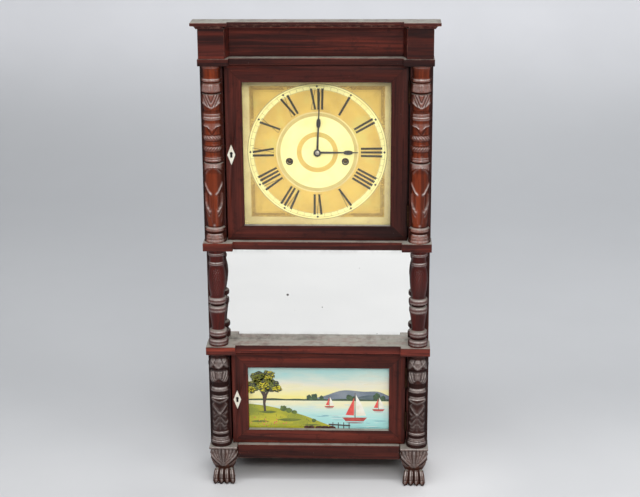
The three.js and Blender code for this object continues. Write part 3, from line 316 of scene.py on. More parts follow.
def metal(name, colour, tarnish, rough):
    """Metal whose tarnish drifts over it."""
    look = Look(name, Metallic=1.0)
    cloud = look.cloud(60.0, 4.0, 0.65)
    look.set("Base Color", look.over(linear(*colour), cloud, 0.38, 0.7, 0.85, linear(*tarnish)))
    look.set("Roughness", look.step(cloud, 0.3, 0.75, rough, rough + 0.18))
    look.bump(look.cloud(840.0, 2.0, 0.6), 0.00006, 0.5)
    return look.mat


def paint(name, colour, other, scale, rough, stretch=(1, 1, 1), coat=0.0, fleck=None, shaded_beyond=None):
    """Brushed or printed paint, its colour drifting between two tones. Farther from the middle than the given
    distance, in metres, it is near black, as painted shade in the gap beside a door."""
    look = Look(name, Coat_Weight=coat, Coat_Roughness=0.03)
    cloud = look.noise(look.scaled(stretch), scale, 5.0, 0.62)
    tone = look.mix(look.step(cloud, 0.34, 0.68), linear(*colour), linear(*other))
    if fleck:
        tone = look.over(tone, look.cloud(scale * 11, 2.0, 0.6), 0.62, 0.74, 0.55, linear(*fleck))
    if shaded_beyond:
        # Painted shade: near black beyond the given distance from the middle.
        outside = look.step(look.unsigned(look.parts(look.where)[0]), shaded_beyond, shaded_beyond + 0.003)
        tone = look.mix(outside, tone, linear(34, 20, 16))
    look.set("Base Color", tone)
    look.set("Roughness", look.step(cloud, 0.3, 0.7, rough, rough + 0.12))
    look.bump(cloud, 0.0002, 0.25)
    return look.mat


def window_glass():
    """Rippled glass that lets light through to the dial."""
    clear = (0.97, 0.98, 0.97, 1.0)
    look = Look("old_glass", Transmission_Weight=1.0, Roughness=0.01, IOR=1.45, Base_Color=clear)
    ripple = look.noise(look.scaled((1.0, 1.0, 0.35)), 16.0, 2.0, 0.5)
    look.bump(ripple, 0.0008, 0.12)
    shadow = look.add("ShaderNodeLightPath").outputs["Is Shadow Ray"]
    open_air = look.add("ShaderNodeBsdfTransparent").outputs[0]
    blend = look.add("ShaderNodeMixShader", {0: shadow, 1: look.shader.outputs[0], 2: open_air})
    look.tree.links.new(blend.outputs[0], look.tree.nodes["Material Output"].inputs["Surface"])
    return look.mat


MIRROR_Y, MIRROR_Z = -0.016, 0.4022
MIRROR_HALF_X, MIRROR_HALF_Z = 0.2085, 0.1005
LOST_SPOTS = ((-0.061, 0.398, 0.0032), (0.008, 0.372, 0.0014), (0.118, 0.316, 0.0013), (0.082, 0.455, 0.001))


def aged_mirror():
    """Silvered glass with a few lost spots, each an x, z and size, and a tired edge."""
    look = Look("aged_mirror", Metallic=1.0)
    x, _, z = look.parts(look.where)[:3]
    to_side = look.minus(MIRROR_HALF_X, look.unsigned(x))
    to_end = look.minus(MIRROR_HALF_Z, look.unsigned(look.minus(z, MIRROR_Z)))
    edge = look.step(look.math("MINIMUM", to_side, to_end), 0.0, 0.022, 1.0, 0.0)
    fogged = look.times(edge, look.step(look.cloud(26.0, 5.0, 0.7), 0.4, 0.62))
    lost = look.step(look.cloud(150.0, 3.0, 0.7), 0.785, 0.8)
    for spot_x, spot_z, size in LOST_SPOTS:
        away = look.vector("DISTANCE", look.where, (spot_x, MIRROR_Y, spot_z))["Value"]
        wobble = look.plus(away, look.times(look.cloud(700.0, 2.0), size))
        lost = look.math("MAXIMUM", lost, look.step(wobble, size * 0.9, size * 1.5, 1.0, 0.0))
    spoilt = look.math("MAXIMUM", look.times(fogged, 0.45), lost)
    look.set("Base Color", look.mix(spoilt, (0.93, 0.935, 0.93, 1.0), (0.10, 0.09, 0.08, 1.0)))
    look.set("Roughness", look.step(spoilt, 0.0, 1.0, 0.03, 0.5))
    look.bump(look.cloud(7.0, 2.0), 0.0006, 0.05)
    return look.mat


def twine():
    look = Look("twine", Roughness=0.9)
    x, y, z = look.parts(look.where)[:3]
    slanted = look.join(x, y, look.plus(z, x))
    twist = look.add("ShaderNodeTexWave", {"Vector": slanted, "Scale": 330.0}).outputs["Fac"]
    look.set("Base Color", look.mix(twist, linear(120, 100, 74), linear(176, 156, 120)))
    look.bump(twist, 0.0004, 0.7)
    return look.mat


def old_bone():
    look = Look("bone", Coat_Weight=0.2)
    fibre = look.noise(look.scaled((1.0, 1.0, 0.1)), 420.0, 3.0, 0.6)
    colour = look.over(linear(244, 240, 226), fibre, 0.4, 0.7, 0.6, linear(222, 210, 180))
    colour = look.over(colour, look.cloud(160.0, 3.0, 0.6), 0.6, 0.8, 0.6, linear(178, 158, 122))
    look.set("Base Color", colour)
    look.set("Roughness", look.step(fibre, 0.3, 0.7, 0.32, 0.46))
    look.bump(fibre, 0.0001, 0.4)
    return look.mat


# Dimensions that the looks share with the solids, in millimetres.
COLUMN_X = 199.5
PILASTER_Y = -40.0
COLUMN_R = 22.0
BLOCK_X = 165.0
RAIL_Y = -49.0
BLOCK_Y = -62.0
BOX_Y = -16.0
DIAL_Y = -9.0
DIAL_Z = 690.0
GLASS_Y = -30.0
BELT_HALF = 223.5
UPPER = {"z0": 520.0, "z1": 868.0, "stile": 33.0, "bottom": 29.8, "top": 34.2, "lock": 692.26}
LOWER = {"z0": 84.5, "z1": 284.0, "stile": 32.8, "bottom": 29.2, "top": 34.3, "lock": 180.26}
DOOR_HALF = 175.5
LOCK_X = -165.0
WINDING_X = 54.5
WINDING_Z = DIAL_Z - 18.4
SIDES = (("left", -1), ("right", 1))

WOOD_X = varnished("mahogany_across", "x", 0.1, 1.12)
WOOD_Z = varnished("mahogany_upright", "z", 0.5, 0.85)
WOOD_DARK = varnished("mahogany_dark", "x", 0.7, 0.93)
WOOD_RED = varnished("mahogany_red", "x", 0.9, 1.42)
EDGE = varnished("mahogany_edge", "x", 0.2, 1.1, pale_share=0.55)
CARVED_UP = carved_wood("carved_upper", (124, 50, 22), 0.2)
CARVED_MID = carved_wood("turned_middle", (84, 20, 13), 0.7)
CARVED_LOW = carved_wood("carved_lower", (68, 34, 28), 1.1)
FOOT = carved_wood("carved_foot", (82, 44, 30), 1.6)
BRASS = metal("aged_brass", (186, 146, 78), (96, 70, 38), 0.3)
DARK_BRASS = metal("dark_brass", (70, 50, 32), (34, 25, 20), 0.5)
HINGE_BRASS = metal("hinge_brass", (58, 40, 28), (26, 19, 16), 0.6)
STEEL = metal("blued_steel", (58, 56, 60), (30, 26, 26), 0.35)
IRON = metal("rough_iron", (74, 72, 72), (54, 40, 32), 0.6)
BONE = old_bone()
CORD = twine()
BLACK = paint("black_paint", (26, 24, 25), (42, 38, 36), 120.0, 0.35)
# Near black paint for sheets that stand for the shade inside holes.
SHADE_SHEET = paint("painted_shade_sheet", (10, 8, 8), (18, 14, 12), 60.0, 0.8)


# Mesh helpers

def add_object(name, mesh, material, body, replaces=(), smooth=None):
    piece = bpy.data.objects.new(name, mesh)
    bpy.context.scene.collection.objects.link(piece)
    for item in material if isinstance(material, (list, tuple)) else [material]:
        mesh.materials.append(item)
    if smooth is not None:
        mesh.shade_smooth()
        if smooth < 180:
            mesh.set_sharp_from_angle(angle=math.radians(smooth))
    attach(piece, body)
    if replaces:
        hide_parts(*replaces)
    return piece


def mesh_from(name, points, faces):
    mesh = bpy.data.meshes.new(name)
    mesh.from_pydata([tuple(p) for p in points], [], [tuple(f) for f in faces])
    mesh.validate()
    return mesh


def faces_out(mesh, weld=False):
    """Turns all faces outwards, after joining points that meet if weld is set."""
    bm = bmesh.new()
    bm.from_mesh(mesh)
    if weld:
        bmesh.ops.remove_doubles(bm, verts=bm.verts, dist=1e-7)
    bmesh.ops.recalc_face_normals(bm, faces=bm.faces)
    bm.to_mesh(mesh)
    bm.free()
    return mesh


def applied(piece):
    """Puts the modifiers' result into the mesh."""
    bpy.context.view_layer.update()
    graph = bpy.context.evaluated_depsgraph_get()
    mesh = bpy.data.meshes.new_from_object(piece.evaluated_get(graph))
    piece.modifiers.clear()
    piece.data = mesh
    return mesh


def rounded(piece, width, **settings):
    """Rounds a piece's edges off, by a width in millimetres."""
    modifier = piece.modifiers.new("round", "BEVEL")
    modifier.width = width * MM
    modifier.segments = 2
    modifier.limit_method = "ANGLE"
    for key, value in settings.items():
        setattr(modifier, key, value)
    applied(piece)


def dressed(node, material, bevel, edge=None):
    """A board of the case like its solid, with its long edges rounded off and rubbed."""
    bm = bmesh.new()
    bm.from_mesh(NODES[node].data)
    bmesh.ops.remove_doubles(bm, verts=bm.verts, dist=1e-6)
    bmesh.ops.dissolve_limit(bm, angle_limit=math.radians(1.0), verts=bm.verts, edges=bm.edges)
    mesh = bpy.data.meshes.new(node + "_dressed")
    bm.to_mesh(mesh)
    bm.free()
    mesh.materials.clear()
    materials = [material, edge] if edge else [material]
    piece = add_object(mesh.name, mesh, materials, "root", [node])
    for polygon in mesh.polygons:
        polygon.material_index = 0
    edge_index = 1 if edge else -1
    rounded(piece, bevel, angle_limit=math.radians(40), harden_normals=True, material=edge_index)


def loft(name, rings, closed_ends=True):
    """Faces between rings of the same number of points."""
    count = len(rings[0])
    points = [p for ring in rings for p in ring]
    faces = []
    for row in range(0, (len(rings) - 1) * count, count):
        for k in range(count):
            nxt = (k + 1) % count
            faces.append((row + k, row + nxt, row + count + nxt, row + count + k))
    if closed_ends:
        faces.append(tuple(reversed(range(count))))
        faces.append(tuple(range((len(rings) - 1) * count, len(rings) * count)))
    return faces_out(mesh_from(name, points, faces))


def looped(name, rings):
    """A loft that closes on itself, as a ring or a frame does."""
    return faces_out(loft(name, rings + [rings[0]], closed_ends=False), weld=True)


def prism(name, outline, y0, y1, holes=()):
    """A flat shape in front view, x by z in millimetres, carried from y0 to y1."""
    curve = bpy.data.curves.new(name, "CURVE")
    curve.dimensions = "2D"
    curve.fill_mode = "BOTH"
    for loop in (outline, *holes):
        spline = curve.splines.new("POLY")
        spline.points.add(len(loop) - 1)
        for point, (x, z) in zip(spline.points, loop):
            point.co = (x * MM, z * MM, 0.0, 1.0)
        spline.use_cyclic_u = True
    curve.extrude = abs(y1 - y0) / 2 * MM
    holder = bpy.data.objects.new(name, curve)
    bpy.context.scene.collection.objects.link(holder)
    bpy.context.view_layer.update()
    mesh = bpy.data.meshes.new_from_object(holder.evaluated_get(bpy.context.evaluated_depsgraph_get()))
    bpy.data.objects.remove(holder)
    mesh.transform(Matrix.Translation((0, (y0 + y1) / 2 * MM, 0)) @ Matrix.Rotation(math.pi / 2, 4, "X"))
    return faces_out(mesh)


def joined(name, meshes):
    bm = bmesh.new()
    for mesh in meshes:
        bm.from_mesh(mesh)
    result = bpy.data.meshes.new(name)
    bm.to_mesh(result)
    bm.free()
    return result


def round_place(cx, cz, radius, angle):
    """A place on a circle, seen from the front."""
    return cx + radius * math.cos(angle), cz + radius * math.sin(angle)


def circle(cx, cz, radius, steps=96):
    return [round_place(cx, cz, radius, 2 * math.pi * i / steps) for i in range(steps)]


def rectangle(x0, z0, x1, z1):
    return [(x0, z0), (x1, z0), (x1, z1), (x0, z1)]


def diamond(x, z, half_x, half_z):
    return [(x, z + half_z), (x + half_x, z), (x, z - half_z), (x - half_x, z)]


def lathe(name, profile, cx, cz, y0, steps=40):
    """A turned ring or knob facing the front: profile is (radius, how far it stands forward)."""
    rings = []
    for i in range(steps):
        ring = []
        for radius, out in profile:
            x, z = round_place(cx, cz, radius, 2 * math.pi * i / steps)
            ring.append((x * MM, (y0 - out) * MM, z * MM))
        rings.append(ring)
    return looped(name, rings)


# Case

def break_front(half, inner, rail, block, back):
    """The plan of a slab whose ends stand forward, as blocks, of the rail between them."""
    right = [(inner, rail), (inner, block), (half, block), (half, back)]
    return [(-x, y) for x, y in reversed(right)] + right


def moulded(node, levels, half, rail, block, back, wood, rubbed_above):
    """A break-front slab whose edge follows (inset, z) levels, with true mitres at its corners."""
    rings = []
    for inset, z in levels:
        plan = break_front(half - inset, BLOCK_X + inset, rail + inset, block + inset, back)
        rings.append([(x * MM, y * MM, z * MM) for x, y in plan])
    mesh = loft(node + "_dressed", rings)
    add_object(mesh.name, mesh, [wood, EDGE], "root", [node], smooth=32)
    for polygon in mesh.polygons:
        sloping = 0.08 < abs(polygon.normal.z) < 0.98
        polygon.material_index = 1 if sloping and polygon.center.z > rubbed_above * MM else 0


def round_over(z0, z1, radius):
    """Levels of a slab with rounded top and bottom edges."""
    angles = (0, 0.4, 0.8, 1.2, 1.5708)
    bottom = [(radius * (1 - math.sin(a)), z0 + radius * (1 - math.cos(a))) for a in angles]
    top = [(inset, z1 - (z - z0)) for inset, z in reversed(bottom)]
    return bottom + top


SLABS = (
    ("lower_belt", 284.5, 302.0, WOOD_RED),
    ("upper_belt", 502.5, 519.5, WOOD_X),
    ("architrave", 868.5, 882.5, WOOD_DARK),
)
CORNICE_HALF = 234.0
CORNICE_Y = -76.0
CORNICE_STEP = 13.0
CORNICE_BACK = -31.0
CORNICE_LEVELS = (
    (9.5, 940.0), (9.5, 941.2), (8.6, 942.0), (8.0, 943.5), (6.6, 945.0), (4.4, 946.0), (3.2, 946.3),
    (0.9, 946.5), (0.2, 947.0), (0.0, 948.0), (0.0, 951.6), (0.3, 952.5), (1.2, 953.0),
)


def make_case():
    for node, z0, z1, wood in SLABS:
        levels = round_over(z0, z1, 1.6)
        moulded(node, levels, BELT_HALF, RAIL_Y, BLOCK_Y, BOX_Y, wood, (z0 + z1) / 2 - 4)
    rail = CORNICE_Y + CORNICE_STEP
    moulded("cornice", CORNICE_LEVELS, CORNICE_HALF, rail, CORNICE_Y, CORNICE_BACK, WOOD_X, 0)
    dressed("frieze_block_left", WOOD_X, 1.0, EDGE)
    dressed("frieze_block_right", WOOD_DARK, 1.0, EDGE)
    dressed("frieze_board", WOOD_X, 0.6)
    dressed("base_rail", WOOD_DARK, 1.2, EDGE)
    for side, _ in SIDES:
        dressed(side + "_side_board", WOOD_Z, 0.8)
    make_back()
    # The bottom board is painted very dark, at 0.3 of the pine's colour, as painted shade under the case.
    dressed("bottom_board", pine_boards("pine_underside", "x", 0.3), 0.8)
    dressed("top_board", pine_boards("pine_across", "x"), 0.5)


BACK_OUTER, BACK_INNER = 75.4, 68.0
BACK_TOP = 912.0
BACK_EDGES = (-221.5, -76.0, 69.0, 221.5)
BACK_LIGHT = (0.86, 1.0, 0.78)
NAIL_HEAD = ((0.02, 0.0), (2.3, 0.0), (2.3, -0.2), (1.6, -0.45), (0.02, -0.5))


def make_back():
    """Three upright boards side by side, nailed to the case, in the place of the plain back board."""
    gap = 0.1
    places = [(sign * 215.0, z) for _, sign in SIDES for z in (150.0, 236.0, 395.0, 610.0, 738.0, 836.0)]
    for i, light in enumerate(BACK_LIGHT):
        edge, next_edge = BACK_EDGES[i], BACK_EDGES[i + 1]
        left = edge + (gap if i > 0 else 0.0)
        right = next_edge - (gap if i < 2 else 0.0)
        number = str(i + 1)
        mesh = prism("back_board_" + number, rectangle(left, 0.0, right, BACK_TOP), BACK_INNER, BACK_OUTER)
        # Each back board is painted darker near the floor, as painted shade under the case.
        wood = pine_boards("pine_back_" + number, "z", light, 0.3 + 0.9 * i, shaded_foot=True)
        rounded(add_object(mesh.name, mesh, wood, "root", ["back_board"]), 0.7)
        places += [(x, z) for x in (edge + 13, next_edge - 13) for z in (59.0, 293.0, 511.0, 906.0)]
    heads = []
    for x, z in places:
        x += rng.uniform(-1.5, 1.5)
        z += rng.uniform(-1.0, 1.0)
        heads.append(lathe("nail", NAIL_HEAD, x, z, BACK_OUTER - 0.05, 14))
    add_object("back_nails", joined("back_nails", heads), IRON, "root", smooth=50)


# Doors

FRAME_WIDTH = 33.0
FRAME_THICK = 20.0
REBATE_DEEP = 10.0
REBATE_LAP = 5.3
MORTISE_X = (-190.0, -160.3)
MORTISE_HALF = 6.4
MORTISE_DEEP = (7.6, 12.4)
KEYHOLE_R, SLOT_HALF, SLOT_LONG = 2.9, 2.1, 5.8
ESCUTCHEON_HALF = (7.75, 20.25)


def frame_ring(which, share, y):
    """The four corners of a door frame, at a share of the way from its opening to its outer edge."""
    x = DOOR_HALF - (1 - share) * which["stile"]
    low = which["z0"] + (1 - share) * which["bottom"]
    high = which["z1"] - (1 - share) * which["top"]
    return [(sx * MM, y * MM, sz * MM) for sx, sz in rectangle(-x, low, x, high)]


def cut(piece, shape):
    """Takes a shape out of a piece."""
    cutter = bpy.data.objects.new("cutter", shape)
    bpy.context.scene.collection.objects.link(cutter)
    modifier = piece.modifiers.new("cut", "BOOLEAN")
    modifier.operation = "DIFFERENCE"
    modifier.solver = "EXACT"
    modifier.object = cutter
    applied(piece)
    bpy.data.objects.remove(cutter)


def make_door(label, which, seed, tone, fall):
    """A mitred frame with a rebate for its glass, a keyhole and the mortise of its lock."""
    front = PILASTER_Y
    back = front + FRAME_THICK
    rebate = back - REBATE_DEEP
    section = [(0.0, rebate), (0.0, front + 0.9), (0.3, front + 0.3), (0.9, front)]
    section += [(FRAME_WIDTH - 1.2, front), (FRAME_WIDTH - 0.4, front + 0.4), (FRAME_WIDTH, front + 1.2)]
    section += [(FRAME_WIDTH, back), (REBATE_LAP, back), (REBATE_LAP, rebate)]
    mesh = looped(label + "_frame_dressed", [frame_ring(which, out / FRAME_WIDTH, y) for out, y in section])
    half = (which["z1"] - which["z0"]) / 2
    mitre = (DOOR_HALF * MM, (which["z0"] + half) * MM, half * MM)
    veneer = varnished(label + "_veneer", "x", seed, tone, 0.0, fall, mitre)
    piece = add_object(mesh.name, mesh, veneer, label, [label + "_frame"], smooth=32)
    lock_z = which["lock"]
    cut(piece, prism("hole", keyhole(lock_z, 0.15), front - 20.0, front + 12.0))
    mortise = rectangle(MORTISE_X[0], lock_z - MORTISE_HALF, MORTISE_X[1], lock_z + MORTISE_HALF)
    cut(piece, prism("mortise", mortise, front + MORTISE_DEEP[0], front + MORTISE_DEEP[1]))
    make_escutcheon(label, lock_z)


def keyhole(lock_z, margin=0.0):
    """A round hole over a slot, as one outline."""
    radius = KEYHOLE_R + margin
    half = SLOT_HALF + margin
    foot = lock_z - SLOT_LONG - margin
    turns = np.linspace(-2.3, 2.3, 18)
    head = [(LOCK_X + radius * math.sin(a), lock_z + KEYHOLE_R + radius * math.cos(a)) for a in turns]
    return head + [(LOCK_X + half, foot), (LOCK_X - half, foot)]


def make_escutcheon(door, lock_z):
    """A bone diamond let into the door, its edge a little rounded, and behind it a near black sheet in the
    shape of the keyhole, as painted shade in the hole.
    """
    label = door.removesuffix("_door")
    name = label + "_escutcheon"
    outline = diamond(LOCK_X, lock_z, *ESCUTCHEON_HALF)
    mesh = prism(name + "_dressed", outline, PILASTER_Y - 1.0, PILASTER_Y - 0.02, [keyhole(lock_z)])
    rounded(add_object(mesh.name, mesh, BONE, door, [name]), 0.25)
    # Painted shade: a near black sheet fills the keyhole behind the bone.
    keyhole_shade = prism(label + "_keyhole_shade", keyhole(lock_z, 0.1), PILASTER_Y + 1.6, PILASTER_Y + 2.4)
    add_object(keyhole_shade.name, keyhole_shade, SHADE_SHEET, door)


# Small parts that keep their solids

BRASS_WORDS = ("lock_bolt", "movement", "wheel", "drum", "pulley", "pendulum")


def dress_node(node, material):
    data = NODES[node].data
    data.materials.clear()
    data.materials.append(material)


def make_small_parts():
    for node in NODES:
        if "hinge" in node:
            dress_node(node, HINGE_BRASS)
        elif any(word in node for word in BRASS_WORDS):
            dress_node(node, BRASS)
    for node in ("verge", "hammer", "gong"):
        dress_node(node, STEEL)
    for node in ("minute_hand", "hour_hand"):
        dress_node(node, BLACK)
    for node in ("weight_left", "weight_right"):
        dress_node(node, IRON)
    dress_node("upper_door_glass", window_glass())
    dress_node("mirror", aged_mirror())


# Cords

CORD_Y = 28.0
EYE_Z = 252.3
PULLEY_X, PULLEY_Z, PULLEY_R = 170.0, 917.0, 10.0
DRUM_X, DRUM_Z, DRUM_R = 54.5, 671.6, 29.3
CORD_R = 0.9
UP = Vector((0.0, 0.0, 1.0))
BACKWARDS = Vector((0.0, 1.0, 0.0))


def cord_tube(name, route):
    """A twisted three-strand cord along a line of points, about 2 mm thick."""
    sides, pitch, step = 12, 11.0, 1.5
    fine = []
    for a, b in zip(route, route[1:]):
        count = max(1, round(math.dist(a, b) / step))
        fine += [Vector(a).lerp(Vector(b), i / count) for i in range(count)]
    fine.append(Vector(route[-1]))
    rings = []
    along = 0.0
    for i, place in enumerate(fine):
        before, after = fine[max(i - 1, 0)], fine[min(i + 1, len(fine) - 1)]
        across = (after - before).normalized().cross(BACKWARDS)
        ring = []
        for k in range(sides):
            a = 2 * math.pi * k / sides
            radius = 0.78 + 0.2 * abs(math.cos(1.5 * (a - 2 * math.pi * along / pitch)))
            ring.append((place + radius * (math.cos(a) * across + math.sin(a) * BACKWARDS)) * MM)
        rings.append(ring)
        along += (after - place).length
    return loft(name, rings)


def cord_turn(x, z, radius):
    """One turn of cord round an upright line, rising by the cord's radius as it goes round."""
    rings = []
    for k in range(20):
        a = 2 * math.pi * k / 20
        away = Vector((math.cos(a), math.sin(a), 0.0))
        centre = Vector((x, CORD_Y, z + CORD_R * a / 6.3)) + (radius - CORD_R) * away
        angles = [math.pi * j / 4 for j in range(8)]
        rings.append([(centre + CORD_R * (math.cos(b) * away + math.sin(b) * UP)) * MM for b in angles])
    return loft("turn", rings + [rings[0]], closed_ends=False)


def add_cord(mesh, body, replaced=()):
    return add_object(mesh.name, mesh, CORD, body, replaced, smooth=60)


def make_cord(side, sign):
    """A weight hangs on a cord that runs up to its pulley, over it, and down to the outside of its drum."""

    def on_wheel(x, z, radius, angle):
        place_x, place_z = round_place(x, z, radius, angle)
        return sign * place_x, CORD_Y, place_z

    aside, below = PULLEY_X - DRUM_X, PULLEY_Z - DRUM_Z
    leave = math.atan2(below, aside) + math.pi
    leave -= math.acos((PULLEY_R + DRUM_R) / math.hypot(aside, below))
    top = on_wheel(PULLEY_X, PULLEY_Z, PULLEY_R, 0.0)
    run = cord_tube("weight_cord_" + side, [(top[0], CORD_Y, EYE_Z), top])
    run_piece = add_cord(run, "root", ["cord_" + side])
    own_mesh(run_piece)
    over = [on_wheel(PULLEY_X, PULLEY_Z, PULLEY_R, leave * i / 16) for i in range(17)]
    over.append(on_wheel(DRUM_X, DRUM_Z, DRUM_R, leave + math.pi))
    add_cord(cord_tube("drum_cord_" + side, over), "root", ["cord_" + side])
    radii = (2.0, 2.5, 2.6, 2.4, 1.9)
    knot = [cord_turn(top[0], EYE_Z + 1.2 + 1.7 * i, radius) for i, radius in enumerate(radii)]
    add_cord(joined("cord_knot_" + side, knot), "weight_" + side)


# Columns

def soft_step(low, high, x):
    t = np.clip((x - low) / (high - low), 0.0, 1.0)
    return t * t * (3 - 2 * t)


def hump(x, centre, half):
    return np.clip(1 - ((x - centre) / half) ** 2, 0.0, None)


def stroke(u, z, points, width):
    """How near each place is to a carved line through the points: 1 on it, falling off over its width."""
    best = np.full(u.shape, 1e9)
    for (u0, z0), (u1, z1) in zip(points, points[1:]):
        du, dz = u1 - u0, z1 - z0
        t = np.clip(((u - u0) * du + (z - z0) * dz) / (du * du + dz * dz), 0.0, 1.0)
        best = np.minimum(best, (u - u0 - t * du) ** 2 + (z - z0 - t * dz) ** 2)
    return np.exp(-best / width ** 2)


class Relief:
    """Carving on a shape: height in millimetres, pale wear with painted highlight, painted shade with dirt,
    and painted highlight lines, each at places u across and z up. line draws the same stroke on both sides of
    the middle, unless both is off."""

    def __init__(self, u, z):
        self.u, self.z = u, z
        self.height, self.pale, self.deep, self.shine = (np.zeros(u.shape) for _ in range(4))

    def raise_by(self, mask, height, pale=0.0, deep=0.0):
        self.height += mask * height
        self.pale = np.maximum(self.pale, mask * pale)
        self.deep = np.maximum(self.deep, mask * deep)

    def line(self, points, width, height, pale=0.0, deep=0.0, both=True):
        mask = stroke(self.u, self.z, points, width)
        if both:
            mask = np.maximum(mask, stroke(-self.u, self.z, points, width))
        self.raise_by(mask, height, pale, deep)

    def band(self, low, high, height, pale=0.0, deep=0.0, soft=1.2):
        half = soft / 2
        over_low = soft_step(low - half, low + half, self.z)
        under_high = 1 - soft_step(high - half, high + half, self.z)
        self.raise_by(over_low * under_high, height, pale, deep)

    def bead(self, low, high, rise, sink, pale):
        """A rounded ring, proud in its middle and sunk at its edges."""
        round_shape = np.sqrt(hump(self.z, (low + high) / 2, (high - low) / 2))
        inside = round_shape > 0
        self.height += inside * (round_shape * (rise + sink) - sink)
        share = (self.z - low) / (high - low)
        # Painted highlights: a pale line near the top of the ring, over its pale wear, and a fainter line
        # below its middle.
        top_highlight = np.exp(-((share - 0.85) / 0.15) ** 2)
        self.pale = np.maximum(self.pale, inside * np.clip(0.3 * round_shape + top_highlight, 0, 1) * pale)
        low_highlight = np.exp(-((share - 0.34) / 0.14) ** 2)
        self.shine = np.maximum(self.shine, inside * low_highlight * pale * 0.6)

    def rope(self, middle, half, pitch, lean, height, pale):
        body = hump(self.z, middle, half)
        twist = 0.5 + 0.5 * np.cos(2 * np.pi * (self.u + lean * (self.z - middle)) / pitch)
        self.raise_by(body * (0.5 + 0.5 * twist), height, pale)
        # Painted shade with dirt in the grooves between the strands.
        self.deep = np.maximum(self.deep, body * (1 - twist) * 0.35)

    def leaf(self, mask, top, hem, low, flare, pale):
        """A leaf that stands out more and more towards its hem."""
        down = np.clip((top - self.z) / (top - hem), 0.0, 1.15)
        self.height += mask * (low + flare * down)
        self.pale = np.maximum(self.pale, mask * (0.45 + 0.55 * down) * pale)

    def dark_sides(self, start, end, share):
        """Painted shade where the column meets its board, with less pale wear and painted highlight there."""
        side = soft_step(start, end, np.abs(self.u))
        self.pale *= 1 - side
        self.shine *= 1 - side
        self.deep = np.maximum(self.deep, side * share)


